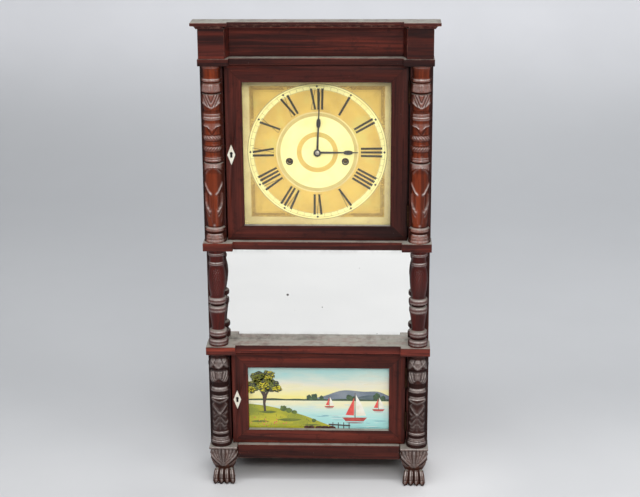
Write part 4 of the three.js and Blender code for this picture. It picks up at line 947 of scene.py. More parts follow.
def carve_upper(r):
    """The upper column: a cove, leaves, two ropes, and a long vase with hanging leaves."""
    u, z = r.u, r.z
    side = np.abs(u)
    r.bead(863, 868.4, 0.0, 0.8, 0.45)
    r.band(844, 861, -0.6, 0.0, 0.0, 7.0)
    r.bead(837.6, 843.2, 1.0, 0.6, 0.95)
    r.band(834.4, 837.4, -1.0, 0.0, 0.7)
    lobes = 0.5 + 0.5 * np.cos(2 * np.pi * u / 17.0)
    bell = soft_step(816.8 + 0.5 * lobes, 819 + 0.5 * lobes, z) * (1 - soft_step(831, 835, z))
    r.leaf(bell, 834, 818, 0.3, 2.0, 0.85)
    r.raise_by(bell * lobes, 0.7, 0.9)
    for at in (-2.6, 2.6):
        r.line([(at, 831), (at, 822)], 1.0, 0.6, 1.0, both=False)
    r.line([(0, 832), (0, 820)], 0.8, -0.8, 0.0, 0.5)
    r.band(813.6, 816.8, -1.4, 0.0, 1.0)
    tip = 785 + 0.55 * side
    leaf = soft_step(tip - 0.9, tip + 0.9, z) * (1 - soft_step(812, 814.5, z))
    r.leaf(leaf, 812, tip, 0.4, 2.2, 0.8)
    r.raise_by(leaf * np.exp(-((z - tip - 2.2) / 1.8) ** 2), 0.9, 1.0)
    for start, end in (((6, 812), (0.6, 799)), ((13, 812), (2, 790)), ((19, 810), (7, 791))):
        r.line([start, end], 1.0, -1.4, 0.0, 0.75)
    r.line([(9.5, 812), (1.2, 795)], 1.3, 0.5, 1.0)
    r.band(776.5, 783, -0.8, 0.0, 0.5, 3.0)
    r.bead(770.8, 776.4, 0.6, 0.5, 0.7)
    r.bead(762.6, 770.4, 1.1, 0.5, 0.95)
    vee = np.minimum(742 + 1.0 * side, 749 + 0.14 * side)
    lifted = soft_step(vee - 0.8, vee + 0.8, z) * (1 - soft_step(755, 761, z))
    r.leaf(lifted, 758, vee, 0.2, 2.0, 0.4)
    r.raise_by(np.exp(-((z - vee - 1.2) / 1.3) ** 2) * soft_step(1, 6, side), 0.6, 0.95)
    r.line([(10, 747), (3.4, 739), (0, 735.5)], 1.8, -1.2, 0.0, 0.7)
    r.rope(728.5, 5.6, 5.6, 0.9, 2.0, 1.0)
    r.rope(707, 5.2, 5.6, -0.9, 2.0, 1.0)
    for at in (722.4, 734.6, 712.8, 701.2):
        r.band(at - 0.8, at + 0.8, -0.7, 0.0, 0.85)
    r.band(690.5, 700, -0.4, 0.0, 0.0, 4.0)
    r.bead(686.8, 690.6, 0.8, 0.5, 0.6)
    r.bead(681.8, 686.4, 0.8, 0.5, 0.75)
    r.band(678.4, 681.6, -1.2, 0.0, 1.0)
    droop = 671 - 0.020 * side ** 2
    collar = soft_step(droop - 0.9, droop + 0.9, z) * (1 - soft_step(677.5, 679.5, z))
    r.leaf(collar, 678, droop, 0.6, 1.6, 0.95)
    r.line([(3, 670), (9, 667), (16, 659)], 1.8, 1.0, 0.6)
    r.raise_by(hump(z, 663, 6) * (1 - collar), -0.4, 0.0, 0.35)
    r.line([(20, 640), (15, 631), (9.5, 621.5), (5.5, 617.5)], 2.2, 2.2, 1.0)
    r.line([(18, 629), (12.6, 618), (11.6, 604), (12, 592)], 2.4, -1.3, 0.0, 0.55)
    r.line([(20.5, 616), (19, 602), (15, 591.5), (8.8, 582)], 3.2, 2.5, 1.0)
    r.line([(9.4, 613), (8.6, 600), (8.2, 588)], 1.3, 0.7, 0.2)
    r.line([(18.5, 588), (14, 580), (9.6, 572.5)], 1.5, 1.0, 0.55)
    r.line([(13, 584), (10.6, 576)], 1.0, -1.0, 0.0, 0.6)
    r.line([(22, 590), (20, 575), (17.5, 562)], 1.8, 0.9, 0.4)
    r.line([(4.8, 588), (5.6, 575), (4.6, 560)], 0.9, 0.5, 0.25)
    r.line([(0, 553.4), (0, 554)], 2.8, 0.9, 1.0)
    r.bead(541.8, 549.8, 1.1, 0.5, 0.8)
    r.band(550.2, 552.2, -0.8, 0.0, 0.8)
    r.band(537, 541.4, -1.0, 0.0, 1.0)
    for low in (531.2, 525.4, 519.6):
        r.bead(low, low + 5.6, 0.4, 0.6, 0.8)
    r.dark_sides(15.5, 20.5, 0.85)


def carve_middle(r):
    """The middle column is turned, with pale rings of wear and painted highlight, and a crackle of painted
    highlight on its upper vase.
    """
    rings = ((303, 315.5, 0.6), (322, 334, 0.8), (371, 385.6, 1.0), (389.5, 402.4, 1.0), (470, 477.5, 0.7))
    for low, high, rise in rings + ((489.5, 495.8, 0.5),):
        r.bead(low, high, rise, 1.0, 0.9)
    for at in (318.6, 387.5):
        r.band(at - 2, at + 2, -0.8, 0.0, 1.0)
    vase = soft_step(404, 412, r.z) * (1 - soft_step(458, 468, r.z))
    crackle = np.sin(r.u * 1.6 + 1.3 * np.sin(r.z * 0.31)) * np.sin(r.z * 0.62 + 1.4 * np.sin(r.u * 0.35))
    r.raise_by(vase * np.clip(crackle, 0, 1) ** 2 * np.exp(-(r.u / 9.0) ** 2), 0.4, 0.75)
    r.raise_by(hump(r.z, 440, 26), 0.9)
    r.dark_sides(17, 27, 0.6)


def carve_lower(r):
    """The lower column: two layers of leaves over a bowl, then a panel with a crossed flower."""
    u, z = r.u, r.z
    side = np.abs(u)
    r.band(276, 281, -0.6, 0.0, 0.6)
    hem = 257.5 - 3.4 * np.cos(2 * np.pi * u / 19.0)
    collar = soft_step(hem - 1, hem + 1, z) * (1 - soft_step(273, 276, z))
    r.leaf(collar, 276, hem, 0.6, 2.2, 0.8)
    r.raise_by(collar * np.exp(-((z - hem - 2.4) / 2.0) ** 2), 0.7, 0.9)
    r.line([(16, 272), (9.5, 266), (6, 258)], 1.3, 0.8, 1.0)
    for at in (-9.5, 9.5):
        r.line([(at * 0.7, 276), (at, 256)], 1.2, -1.6, 0.0, 0.75, both=False)
    r.band(247.5, 254.5, -1.1, 0.0, 0.85, 3.0)
    hem2 = 228.5 + 4.0 * np.cos(2 * np.pi * u / 24.0)
    leaves = soft_step(hem2 - 1, hem2 + 1, z) * (1 - soft_step(248, 252, z))
    r.leaf(leaves, 250, hem2, 0.3, 2.2, 0.65)
    r.line([(19, 246), (15.5, 238), (11, 229)], 1.7, 1.3, 1.0)
    r.line([(13.6, 247), (10.2, 239), (8, 231)], 1.4, 1.1, 1.0)
    r.line([(20, 237), (17, 230), (13.6, 225.5)], 1.3, 0.9, 0.8)
    r.line([(16.4, 247), (12.8, 239), (9.6, 230)], 0.9, -1.5, 0.0, 0.9)
    r.line([(10.2, 249), (7.2, 241), (6, 232)], 1.0, -1.5, 0.0, 0.8)
    r.line([(0, 247), (0, 236)], 2.6, 0.5, 0.6)
    r.band(213.5, 224, -1.0, 0.0, 0.85, 4.0)
    r.bead(204, 213, 1.4, 0.4, 0.95)
    r.band(195.6, 203.4, -1.2, 0.0, 0.85)
    r.band(188.4, 194.6, 0.8, 0.85)
    r.band(117, 187, -1.0, 0.0, 0.45, 3.0)
    r.line([(20, 187), (10, 182.5), (0, 180)], 2.2, 1.6, 0.9)
    r.line([(12, 179), (19, 172), (20, 164)], 1.8, 1.0, 0.6)
    r.raise_by(np.exp(-((u / 8.0) ** 2 + ((z - 171) / 5.0) ** 2) ** 2), -0.9, 0.0, 0.3)
    for rise, width, pale in ((1.9, 4.6, 0.35), (0.8, 1.6, 1.0)):
        r.line([(14.5, 173), (9.5, 166.5), (4.4, 160)], width, rise, pale)
        r.line([(13.5, 146.5), (9.0, 150), (4.4, 153.5)], width, rise * 0.9, pale * 0.7)
    r.line([(18, 165), (13, 159), (6, 157)], 1.3, -1.3, 0.0, 0.7)
    r.line([(19, 158), (13, 154.5)], 2.6, 1.2, 0.5)
    r.raise_by(np.exp(-((u / 3.8) ** 2 + ((z - 156.5) / 3.6) ** 2) ** 2), 2.2, 1.0)
    r.line([(0, 150), (0, 122)], 2.6, 1.5, 0.45)
    r.line([(3.4, 146), (8, 138), (13.5, 133), (18.5, 137)], 2.8, 1.7, 0.75)
    r.line([(3.2, 134), (8.5, 127), (14.5, 128)], 2.6, 1.4, 0.7)
    r.line([(5.6, 146), (11, 141.5), (17, 144)], 1.3, -1.2, 0.0, 0.7)
    r.line([(4.0, 128), (10, 121), (16, 121)], 2.0, 1.0, 0.4)
    r.bead(110.4, 116, 1.0, 0.4, 0.9)
    r.band(104.8, 110.2, -1.1, 0.0, 1.0)
    r.bead(97.6, 104.4, 0.6, 0.6, 0.8)
    r.bead(90.6, 97.2, 0.6, 0.6, 0.75)
    r.band(84, 90.4, -0.6, 0.0, 0.7)
    r.dark_sides(16.5, 21.5, 0.8)


# Outlines of the turned columns from bottom to top, as shares of the column's radius and of its height
UPPER_SHARES = [
    (1, 0), (1, 0.01), (0.936, 0.013), (0.936, 0.036), (0.836, 0.044), (0.836, 0.056),
    (0.909, 0.062), (0.909, 0.079), (0.773, 0.087), (0.764, 0.105), (0.836, 0.159),
    (0.873, 0.259), (0.873, 0.36), (0.836, 0.423), (0.891, 0.431), (0.891, 0.451),
    (0.8, 0.457), (0.855, 0.466), (0.855, 0.494), (0.809, 0.5), (0.809, 0.534),
    (0.859, 0.54), (0.859, 0.56), (0.809, 0.566), (0.809, 0.589), (0.859, 0.595),
    (0.859, 0.617), (0.814, 0.626), (0.827, 0.698), (0.877, 0.706), (0.877, 0.738),
    (0.782, 0.746), (0.818, 0.775), (0.873, 0.838), (0.764, 0.847), (0.864, 0.858),
    (0.864, 0.895), (0.773, 0.907), (0.877, 0.915), (0.877, 0.927), (0.8, 0.933),
    (0.827, 0.979), (0.891, 0.987), (0.891, 1),
]
MIDDLE_SHARES = [
    (0.886, 0), (0.886, 0.06), (0.745, 0.075), (0.745, 0.095), (0.841, 0.11),
    (0.841, 0.155), (0.582, 0.17), (0.645, 0.239), (0.745, 0.329), (0.8, 0.349),
    (0.8, 0.409), (0.636, 0.421), (0.636, 0.434), (0.818, 0.446), (0.818, 0.494),
    (0.618, 0.509), (0.727, 0.589), (0.795, 0.688), (0.755, 0.763), (0.655, 0.823),
    (0.709, 0.838), (0.709, 0.868), (0.655, 0.878), (0.655, 0.928), (0.773, 0.943),
    (0.773, 1),
]
LOWER_SHARES = [
    (0.98, 0), (1, 0.035), (0.955, 0.042), (1, 0.05), (0.973, 0.07), (0.855, 0.085),
    (0.855, 0.1), (0.936, 0.11), (0.918, 0.125), (0.845, 0.135), (0.845, 0.479),
    (0.909, 0.499), (0.891, 0.519), (0.8, 0.529), (0.8, 0.559), (0.891, 0.569),
    (0.891, 0.618), (0.791, 0.638), (0.836, 0.688), (0.882, 0.758), (0.845, 0.823),
    (0.809, 0.833), (0.9, 0.858), (0.9, 0.928), (0.8, 0.943), (0.8, 0.978),
    (0.909, 0.988), (0.909, 1),
]


def write_numbers(mesh, **numbers):
    """Writes numbers from 0 to 1 on the mesh's points, for the looks of the carved wood."""
    for name, values in numbers.items():
        layer = mesh.attributes.new(name, "FLOAT", "POINT")
        layer.data.foreach_set("value", np.clip(values, 0, 1).astype(np.float32).reshape(-1))


ROW_STEP = 0.8
CARVED_R = 0.86 * COLUMN_R
GROUND_SINK = 0.3
CARVING_PROUD = 0.4


def make_column(node, x, z0, height, shares, carve, material, whole):
    """A turned and carved column, half round against its pilaster or whole."""
    z = np.linspace(z0, z0 + height, int(height / ROW_STEP) + 1)
    radius = np.interp(z, [z0 + up * height for _, up in shares], [out * COLUMN_R for out, _ in shares])
    kernel = np.exp(-np.linspace(-2, 2, 5) ** 2 / 1.4)
    radius = np.convolve(np.pad(radius, 2, "edge"), kernel / kernel.sum(), "valid")
    columns, reach = (112, math.pi) if whole else (72, math.pi / 2)
    around, up = np.meshgrid(np.linspace(-reach, reach, columns, endpoint=not whole), z)
    relief = Relief(around * CARVED_R, up)
    carve(relief)
    lift = np.clip(relief.height, -2.2, 3.0)
    r = np.minimum(radius[:, None] + lift - GROUND_SINK, COLUMN_R + CARVING_PROUD)
    rings = np.stack([x + r * np.sin(around), PILASTER_Y - r * np.cos(around), up], -1) * MM
    mesh = loft(node + "_carved", rings)
    write_numbers(mesh, pale=relief.pale, deep=relief.deep, shine=relief.shine)
    add_object(mesh.name, mesh, material, "root", [node], smooth=50)


# Each column's name, foot, height, outline, carving, wood and whether it is whole
COLUMNS = (
    ("upper_column_", 519.5, 349.0, UPPER_SHARES, carve_upper, CARVED_UP, False),
    ("middle_column_", 302.0, 200.5, MIDDLE_SHARES, carve_middle, CARVED_MID, True),
    ("lower_column_", 84.0, 200.5, LOWER_SHARES, carve_lower, CARVED_LOW, False),
)


def make_columns(side, sign):
    for name, *numbers in COLUMNS:
        make_column(name + side, sign * COLUMN_X, *numbers)


# Paw feet

FOOT_X = 194.5
FOOT_FRONT = -62.9
KNEE_SECTIONS = (
    (78, 26.5, 60), (70, 26.5, 61.5), (62, 26.5, 62), (54, 26, 62), (47, 25, 61), (41, 23.5, 59),
    (36, 21, 56.5), (31, 18.5, 53.5), (26, 18.5, 53.5), (20, 19, 54), (14, 19.5, 54.5), (8, 20, 54),
)


def add_ball(bm, centre, size):
    for vertex in bmesh.ops.create_icosphere(bm, subdivisions=2, radius=1.0)["verts"]:
        vertex.co = Vector([c + s * v for c, s, v in zip(centre, size, vertex.co)]) * MM


def add_chain(bm, points, radii):
    """Balls along a bent line, close enough to melt together."""
    for a, b, ra, rb in zip(points, points[1:], radii, radii[1:]):
        count = max(2, int(math.dist(a, b) / (0.35 * min(ra, rb))))
        for i in range(count + 1):
            share = i / count
            add_ball(bm, Vector(a).lerp(Vector(b), share), [ra + (rb - ra) * share] * 3)


def add_box(bm, low, high):
    for vertex in bmesh.ops.create_cube(bm, size=2.0)["verts"]:
        vertex.co = Vector([b if v > 0 else a for a, b, v in zip(low, high, vertex.co)]) * MM


def paw_forms(middle):
    """The small forms that melt into a foot: its block, knee, toes, claws and the skin between the toes."""
    bm = bmesh.new()
    add_box(bm, (middle - 28.5, -62.5, 79.0), (middle + 28.5, -16.4, 83.6))
    add_box(bm, (middle - 27.5, -45.0, 50.0), (middle + 27.5, -16.6, 80.0))
    heights, halves, fronts = zip(*reversed(KNEE_SECTIONS))
    for z in np.arange(8.0, 78.1, 2.0):
        half, front = np.interp(z, heights, halves), np.interp(z, heights, fronts)
        ball = 7.5 if z > 34 else 6.0
        for at in np.linspace(-1, 1, 9):
            y = ball - (front - 6.0 * at * at)
            add_ball(bm, (middle + at * (half - ball), y, z), (ball, ball, 5.5))
            add_ball(bm, (middle + at * (half - 8), -33, z), (8.0, 15, 6.0))
    for at in (-1, -0.34, 0.34, 1):
        x = middle + at * 17.2
        toe = [(middle + at * 15.0, -52.0, 28), (middle + at * 16.2, -55.6, 21)]
        toe += [(x, -56.8, 13), (x, -56.6, 6.5)]
        add_chain(bm, toe, [5.2, 5.7, 5.6, 6.2])
        claw = [(x, -58.5, 5.4), (x + at, -60.4, 3.4), (x + at, -61.4, 1.8)]
        add_chain(bm, claw, [3.2, 2.4, 1.5])
    for at in (-1, 0, 1):
        add_ball(bm, (middle + at * 12, -36, 5.5), (9.5, 14, 5.3))
        web = [(10.2, -50.5, 28), (11.0, -52.5, 16), (11.5, -52.0, 6)]
        add_chain(bm, [(middle + at * out, y, z) for out, y, z in web], [5.2, 5.0, 4.6])
    return bm


def make_foot(side, sign):
    """A lion's paw under a leafy knee: four toes with claws, melted from many small forms."""
    node = "paw_foot_" + side
    middle = sign * FOOT_X
    bm = paw_forms(middle)
    mesh = bpy.data.meshes.new(node + "_carved")
    bm.to_mesh(mesh)
    bm.free()
    piece = add_object(mesh.name, mesh, FOOT, "root", [node])
    melt = piece.modifiers.new("melt", "REMESH")
    melt.mode = "VOXEL"
    melt.voxel_size = 0.85 * MM
    relax = piece.modifiers.new("relax", "SMOOTH")
    relax.factor = 0.5
    relax.iterations = 2
    mesh = applied(piece)
    lay_on_foot(mesh, middle, sign)
    mesh.shade_smooth()


def lay_on_foot(mesh, middle, sign):
    """Moves the points of a foot by its carving, and writes where its pale wear with painted highlight lies,
    and its painted shade with dirt.
    """
    count = len(mesh.vertices)
    co, normal = np.zeros(count * 3), np.zeros(count * 3)
    mesh.vertices.foreach_get("co", co)
    mesh.vertices.foreach_get("normal", normal)
    co, normal = co.reshape(-1, 3), normal.reshape(-1, 3)
    x, y, z = (co / MM).T
    relief = Relief((x - middle) * sign, z)
    carve_foot(relief)
    ahead = np.clip(-normal[:, 1] * 1.6, 0, 1) * (y < -34)
    lift = np.clip(relief.height * ahead, -2.0, 2.0)
    co += normal * (lift * MM)[:, None]
    co[:, 2] = np.maximum(co[:, 2], 0.0)
    co[:, 1] = np.maximum(co[:, 1], FOOT_FRONT * MM)
    mesh.vertices.foreach_set("co", co.reshape(-1))
    # Painted shade: darker at the claw tips by the floor and in the crease at the ankle.
    deep = np.where((z < 5) & (y < -57), np.maximum(relief.deep, 0.9), relief.deep)
    deep = np.maximum(deep, 0.5 * hump(z, 34, 5))
    # The top of the block gets pale wear with painted highlight.
    write_numbers(mesh, pale=np.where(z > 79.5, 0.8, relief.pale), deep=deep)
    mesh.update()


def carve_foot(r):
    """Leaf ribs and a rolled edge on the knee, and furrows on and between the toes."""
    r.line([(0, 79), (0, 44)], 3.0, 2.0, 0.9, both=False)
    for x0, x1, z1 in ((8, 4.6, 50), (15.5, 9, 54), (23, 14.5, 58)):
        middle_x = (x0 + x1) / 2 + 2.2
        middle_z = (79 + z1) / 2
        r.line([(x0, 79), (middle_x, middle_z), (x1, z1)], 3.0, 1.0, 0.75)
        r.line([(x0 - 4, 79), (middle_x - 3.6, middle_z), (x1 - 2.6, z1)], 1.1, -1.2, 0.0, 0.4)
    r.line([(28, 66), (21, 58), (12, 50), (3, 43)], 2.6, 2.0, 1.0)
    r.line([(28, 58), (20, 51), (11, 44)], 1.9, -1.8, 0.0, 1.0)
    r.line([(27, 52), (19, 45.5), (12, 41)], 1.5, 0.9, 0.4)
    r.line([(22, 39), (12, 35), (0, 34)], 3.0, -0.6, 0.0, 0.6)
    for at in (-11.5, 0.0, 11.5):
        r.line([(at * 0.85, 31), (at * 0.95, 20), (at, 2)], 1.2, -1.4, 0.0, 0.75, both=False)
    for at in (-17.2, -5.8, 5.8, 17.2):
        near = at * 0.86
        r.line([(near - 1.6, 30), (at * 0.94 - 1.4, 22), (at - 1.0, 4)], 1.8, 0.5, 1.0, both=False)
        r.line([(near + 2.2, 29), (at + 2.4, 12)], 1.0, 0.3, 0.8, both=False)
        r.line([(near + 0.4, 29), (at + 0.6, 12)], 0.8, -0.8, 0.0, 0.7, both=False)
        r.line([(at - 4, 12), (at + 4, 12)], 1.0, -0.7, 0.0, 0.6, both=False)


# Dial

DIAL_EDGE_BAND = (0.1222, 0.1234)
DIAL_CORNER_BAND = (0.095, 0.104)


def old_gilding():
    """Matt gold paint, clouded with green, and stencilled in brown along the edges of the square."""
    look = Look("dial_gilt")
    cloud = look.cloud(30.0, 4.0, 0.6)
    tone = look.mix(look.step(cloud, 0.34, 0.68), linear(200, 164, 78), linear(216, 181, 86))
    tone = look.over(tone, look.cloud(17.0, 3.0, 0.6), 0.5, 0.7, 0.7, linear(203, 188, 100))
    x, _, z = look.parts(look.where)[:3]
    reach = look.math("MAXIMUM", look.unsigned(x), look.unsigned(look.minus(z, DIAL_Z * MM)))
    band = look.step(reach, *DIAL_EDGE_BAND)
    blotch = look.step(look.cloud(360.0, 3.0, 0.7), 0.44, 0.58)
    tone = look.mix(look.times(look.times(band, blotch), 0.75), tone, linear(132, 96, 36))
    corner = look.minus(look.step(reach, *DIAL_CORNER_BAND), band)
    specks = look.step(look.cloud(520.0, 2.0, 0.6), 0.6, 0.68)
    tone = look.mix(look.times(look.times(corner, specks), 0.35), tone, linear(150, 110, 46))
    look.set("Base Color", tone)
    look.set("Roughness", look.step(cloud, 0.3, 0.7, 0.38, 0.5))
    look.bump(cloud, 0.0002, 0.25)
    return look.mat


# The dial's paint is near black farther than 166 mm from its middle: painted shade in the gaps beside the
# door.
CREAM = paint("dial_cream", (226, 210, 144), (204, 182, 124), 14.0, 0.4, fleck=(196, 168, 124), shaded_beyond=0.166)
PALE_CREAM = paint("dial_pale", (244, 236, 164), (236, 224, 146), 18.0, 0.4)
GILT = old_gilding()
OLIVE = paint("dial_olive", (190, 168, 98), (202, 182, 112), 40.0, 0.45)
INK = paint("dial_ink", (24, 19, 10), (48, 38, 20), 160.0, 0.5)
FAINT_INK = paint("dial_faint_ink", (110, 92, 52), (150, 126, 76), 160.0, 0.5)
STENCIL = paint("dial_stencil", (128, 94, 38), (170, 134, 62), 200.0, 0.5)

# Inner and outer radii of the dial's rings, and top and foot of its paint in layers
PAINT_LAYER = 0.06
MIDDLE_RING, OLIVE_RING = (31.0, 40.0), (72.0, 78.0)
CHAPTER_RING, MINUTE_TRACK = (80.5, 123.5), (123.6, 134.8)
FINE_RINGS = ((124.0, 124.45), (131.2, 131.65), (135.2, 136.1))
HEART_R, CENTRE_R, CENTRE_INNER, ARBOR_HOLE_R, WINDING_HOLE_R = 30.8, 71.9, 40.2, 6.4, 5.2
HOUR_MARK_R, HOUR_MARK_HALF = 130.5, 2.6
INK_LAYERS, MARK_LAYERS, FINE_LAYERS = (2.5, 0.5), (3.0, 0.5), (2.2, 0.5)


def polar(radius, degrees):
    """A place on the dial, with degrees clockwise from twelve."""
    a = math.radians(degrees)
    return radius * math.sin(a), DIAL_Z + radius * math.cos(a)


def dial_sheet(outline, height, under=0.0, holes=()):
    """A thin sheet on the dial, between two heights that count layers of paint."""
    return prism("sheet", outline, DIAL_Y - height * PAINT_LAYER, DIAL_Y - under * PAINT_LAYER, holes)


def ring_sheet(inner, outer, height=1.0, under=0.0):
    return dial_sheet(circle(0, DIAL_Z, outer, 144), height, under, [circle(0, DIAL_Z, inner, 144)])


def add_sheets(name, sheets, material):
    add_object(name, joined(name, sheets), material, "root")


NUMERALS = ["XII", "I", "II", "III", "IIII", "V", "VI", "VII", "VIII", "IX", "X", "XI"]
# Each letter's width, and its strokes as two places on the top line and two on the bottom one
STROKES = {
    "I": (7.8, [(-2.3, 2.3, -2.3, 2.3)]),
    "V": (12.6, [(-5.6, -1.2, -1.6, 2.8), (4.3, 5.3, 0.6, 1.6)]),
    "X": (13.6, [(-6.0, -1.6, 1.6, 6.0), (4.2, 5.1, -5.1, -4.2)]),
}
NUMERAL_TOP, NUMERAL_BOTTOM = 126.0, 85.0


def numeral_place(hour, sideways, radius):
    """A place in an hour's numeral, which narrows towards the dial's middle."""
    a = math.radians(hour * 30)
    s = sideways * (0.72 + 0.28 * radius / NUMERAL_TOP)
    return radius * math.sin(a) + s * math.cos(a), DIAL_Z + radius * math.cos(a) - s * math.sin(a)


def numeral_outlines(hour):
    """Each stroke as a four-cornered outline: from its two top places to its two bottom ones."""
    letters = NUMERALS[hour]
    at = -sum(STROKES[c][0] for c in letters) / 2
    top, bottom = NUMERAL_TOP, NUMERAL_BOTTOM
    shapes = []
    for letter in letters:
        size, strokes = STROKES[letter]
        centre = at + size / 2
        at += size
        for a, b, c, d in strokes:
            shapes.append([(centre + a, top), (centre + b, top), (centre + d, bottom), (centre + c, bottom)])
        half = size * 0.40
        shapes += [rectangle(centre - half, r - 0.2, centre + half, r + 0.2) for r in (top, bottom)]
    return [[numeral_place(hour, s, r) for s, r in shape] for shape in shapes]


def spandrel(sx, sz):
    """The corner between the square and the circle."""
    half, radius = 131.0, 136.5
    reach = math.sqrt(radius ** 2 - half ** 2)
    start, end = math.atan2(reach, half), math.atan2(half, reach)
    arc = [round_place(0, 0, radius, start + (end - start) * i / 24) for i in range(25)]
    return [(sx * x, DIAL_Z + sz * z) for x, z in [(half, half)] + arc[::-1]]


def make_dial():
    dress_node("dial", CREAM)
    make_dial_fields()
    make_dial_ink()
    for side, sign in SIDES:
        make_winding_hole(side, sign * WINDING_X)


def make_dial_fields():
    """The gold corners and rings, the olive ring and the pale fields between them."""
    gold = [dial_sheet(spandrel(sx, sz), 1.0) for sx in (-1, 1) for sz in (-1, 1)]
    gold += [ring_sheet(*CHAPTER_RING), ring_sheet(*MIDDLE_RING, 2.0)]
    add_sheets("dial_gilding", gold, GILT)
    add_sheets("dial_olive_ring", [ring_sheet(*OLIVE_RING)], OLIVE)
    holes = [circle(sign * WINDING_X, WINDING_Z, WINDING_HOLE_R, 24) for _, sign in SIDES]
    holes.append(circle(0, DIAL_Z, CENTRE_INNER))
    centre = dial_sheet(circle(0, DIAL_Z, CENTRE_R, 144), 1.0, 0.0, holes)
    heart = dial_sheet(circle(0, DIAL_Z, HEART_R), 1.0, 0.0, [circle(0, DIAL_Z, ARBOR_HOLE_R, 24)])
    add_sheets("dial_pale_fields", [centre, heart, ring_sheet(*MINUTE_TRACK)], PALE_CREAM)


def make_dial_ink():
    """Numerals with their hour marks, the minute lines and fine rings, and the stencils in the corners."""
    ink = []
    for hour in range(12):
        ink += [dial_sheet(shape, *INK_LAYERS) for shape in numeral_outlines(hour)]
        mark = diamond(*polar(HOUR_MARK_R, hour * 30), HOUR_MARK_HALF, HOUR_MARK_HALF)
        ink.append(dial_sheet(mark, *MARK_LAYERS))
    add_sheets("dial_numerals", ink, INK)
    fine = [ring_sheet(*radii, *FINE_LAYERS) for radii in FINE_RINGS]
    for minute in range(60):
        if minute % 5:
            shape = [polar(r, minute * 6 + turn) for r, turn in rectangle(124.2, -0.11, 131.3, 0.11)]
            fine.append(dial_sheet(shape, *FINE_LAYERS))
    add_sheets("dial_fine_lines", fine, FAINT_INK)
    stencils = [shape for sx in (-1, 1) for sz in (-1, 1) for shape in corner_stencil(sx, sz)]
    add_sheets("dial_corner_stencils", [dial_sheet(shape, *FINE_LAYERS) for shape in stencils], STENCIL)


def corner_stencil(sx, sz):
    """A band of small crosses and a dotted flower in a corner, as stencilled dials have."""
    edge, flower = 125.6, 114.5
    shapes = []

    def dot(x, z, radius):
        shapes.append(circle(sx * x, DIAL_Z + sz * z, radius, 8))

    for i in range(15):
        a = 127.4 - 5.4 * i
        for upright in (True, False) if i else (True,):
            x, z = (edge, a) if upright else (a, edge)
            if math.hypot(x, z) < 141.5:
                continue
            for lean in (-1, 1):
                bar = ((-3.4, -2.0), (-2.4, -2.7), (3.4, 2.0), (2.4, 2.7))
                shapes.append([(sx * x + lean * u, DIAL_Z + sz * z + v) for u, v in bar])
            dot(x - 5.4 if upright else x, z if upright else z - 5.4, 0.9)
    for k in range(8):
        dot(*round_place(flower, flower, 3.4, math.pi * k / 4), 0.85)
    for r, a in ((6.8, 0.5), (6.8, 1.1), (9.4, 0.3), (9.4, 1.3), (6.8, 3.6), (6.8, 4.2)):
        dot(*round_place(flower, flower, r, a), 0.7)
    return shapes


COLLET_PROFILE = ((4.7, 0.0), (7.2, 0.0), (7.2, 0.5), (6.6, 0.9), (5.2, 0.9), (4.7, 0.5))


def make_winding_hole(side, x):
    """A brass collet round the hole, and behind it a near black ring, as painted shade in the hole, with the
    drum's arbor in its middle.
    """
    collet = lathe("winding_collet_" + side, COLLET_PROFILE, x, WINDING_Z, DIAL_Y)
    add_object(collet.name, collet, DARK_BRASS, "root", smooth=40)
    outer, inner = circle(x, WINDING_Z, 5.1, 32), circle(x, WINDING_Z, 2.6, 24)
    # Painted shade: a near black ring behind the winding hole.
    hole_shade = prism("winding_hole_shade_" + side, outer, DIAL_Y + 3.4, DIAL_Y + 4.0, [inner])
    add_object(hole_shade.name, hole_shade, SHADE_SHEET, "root")


HAND_FRONT = -15.0
COLLAR_PROFILE = ((3.0, 0.0), (7.2, 0.0), (7.4, 0.25), (7.0, 0.5), (3.0, 0.6))
NUT_PROFILE = ((0.02, 0.0), (4.0, 0.0), (4.0, 0.9), (3.2, 1.5), (1.6, 1.9), (0.02, 2.0))


def make_hand_nut():
    collar = lathe("hand_collar", COLLAR_PROFILE, 0, DIAL_Z, HAND_FRONT)
    add_object(collar.name, collar, BLACK, "centre_arbor", smooth=40)
    nut = lathe("hand_nut", NUT_PROFILE, 0, DIAL_Z, HAND_FRONT)
    bright = metal("nut_steel", (190, 182, 170), (120, 110, 98), 0.3)
    add_object(nut.name, nut, bright, "centre_arbor", smooth=50)


# Painted tablet: a lake with small boats, drawn for this part.

def wavy(x0, x1, base, size, step=2.0, seed=0):
    """A line of hills or bank from x0 to x1, from a few slow waves."""
    noise = random.Random(seed)
    waves = [(noise.uniform(0.02, 0.14), noise.uniform(0, 6.3), noise.uniform(0.3, 1.0)) for _ in range(5)]
    total = sum(w for _, _, w in waves)
    line = []
    x = x0
    while x <= x1 + 0.01:
        lift = sum(w * math.sin(k * x + p) for k, p, w in waves) / total
        line.append((x, base(x) + size * lift))
        x += step
    return line


TABLET_X = 147.0
TABLET_LOW, TABLET_HIGH = 109.0, 254.5
HORIZON = 176.0
WATER_TOP = HORIZON - 1.5
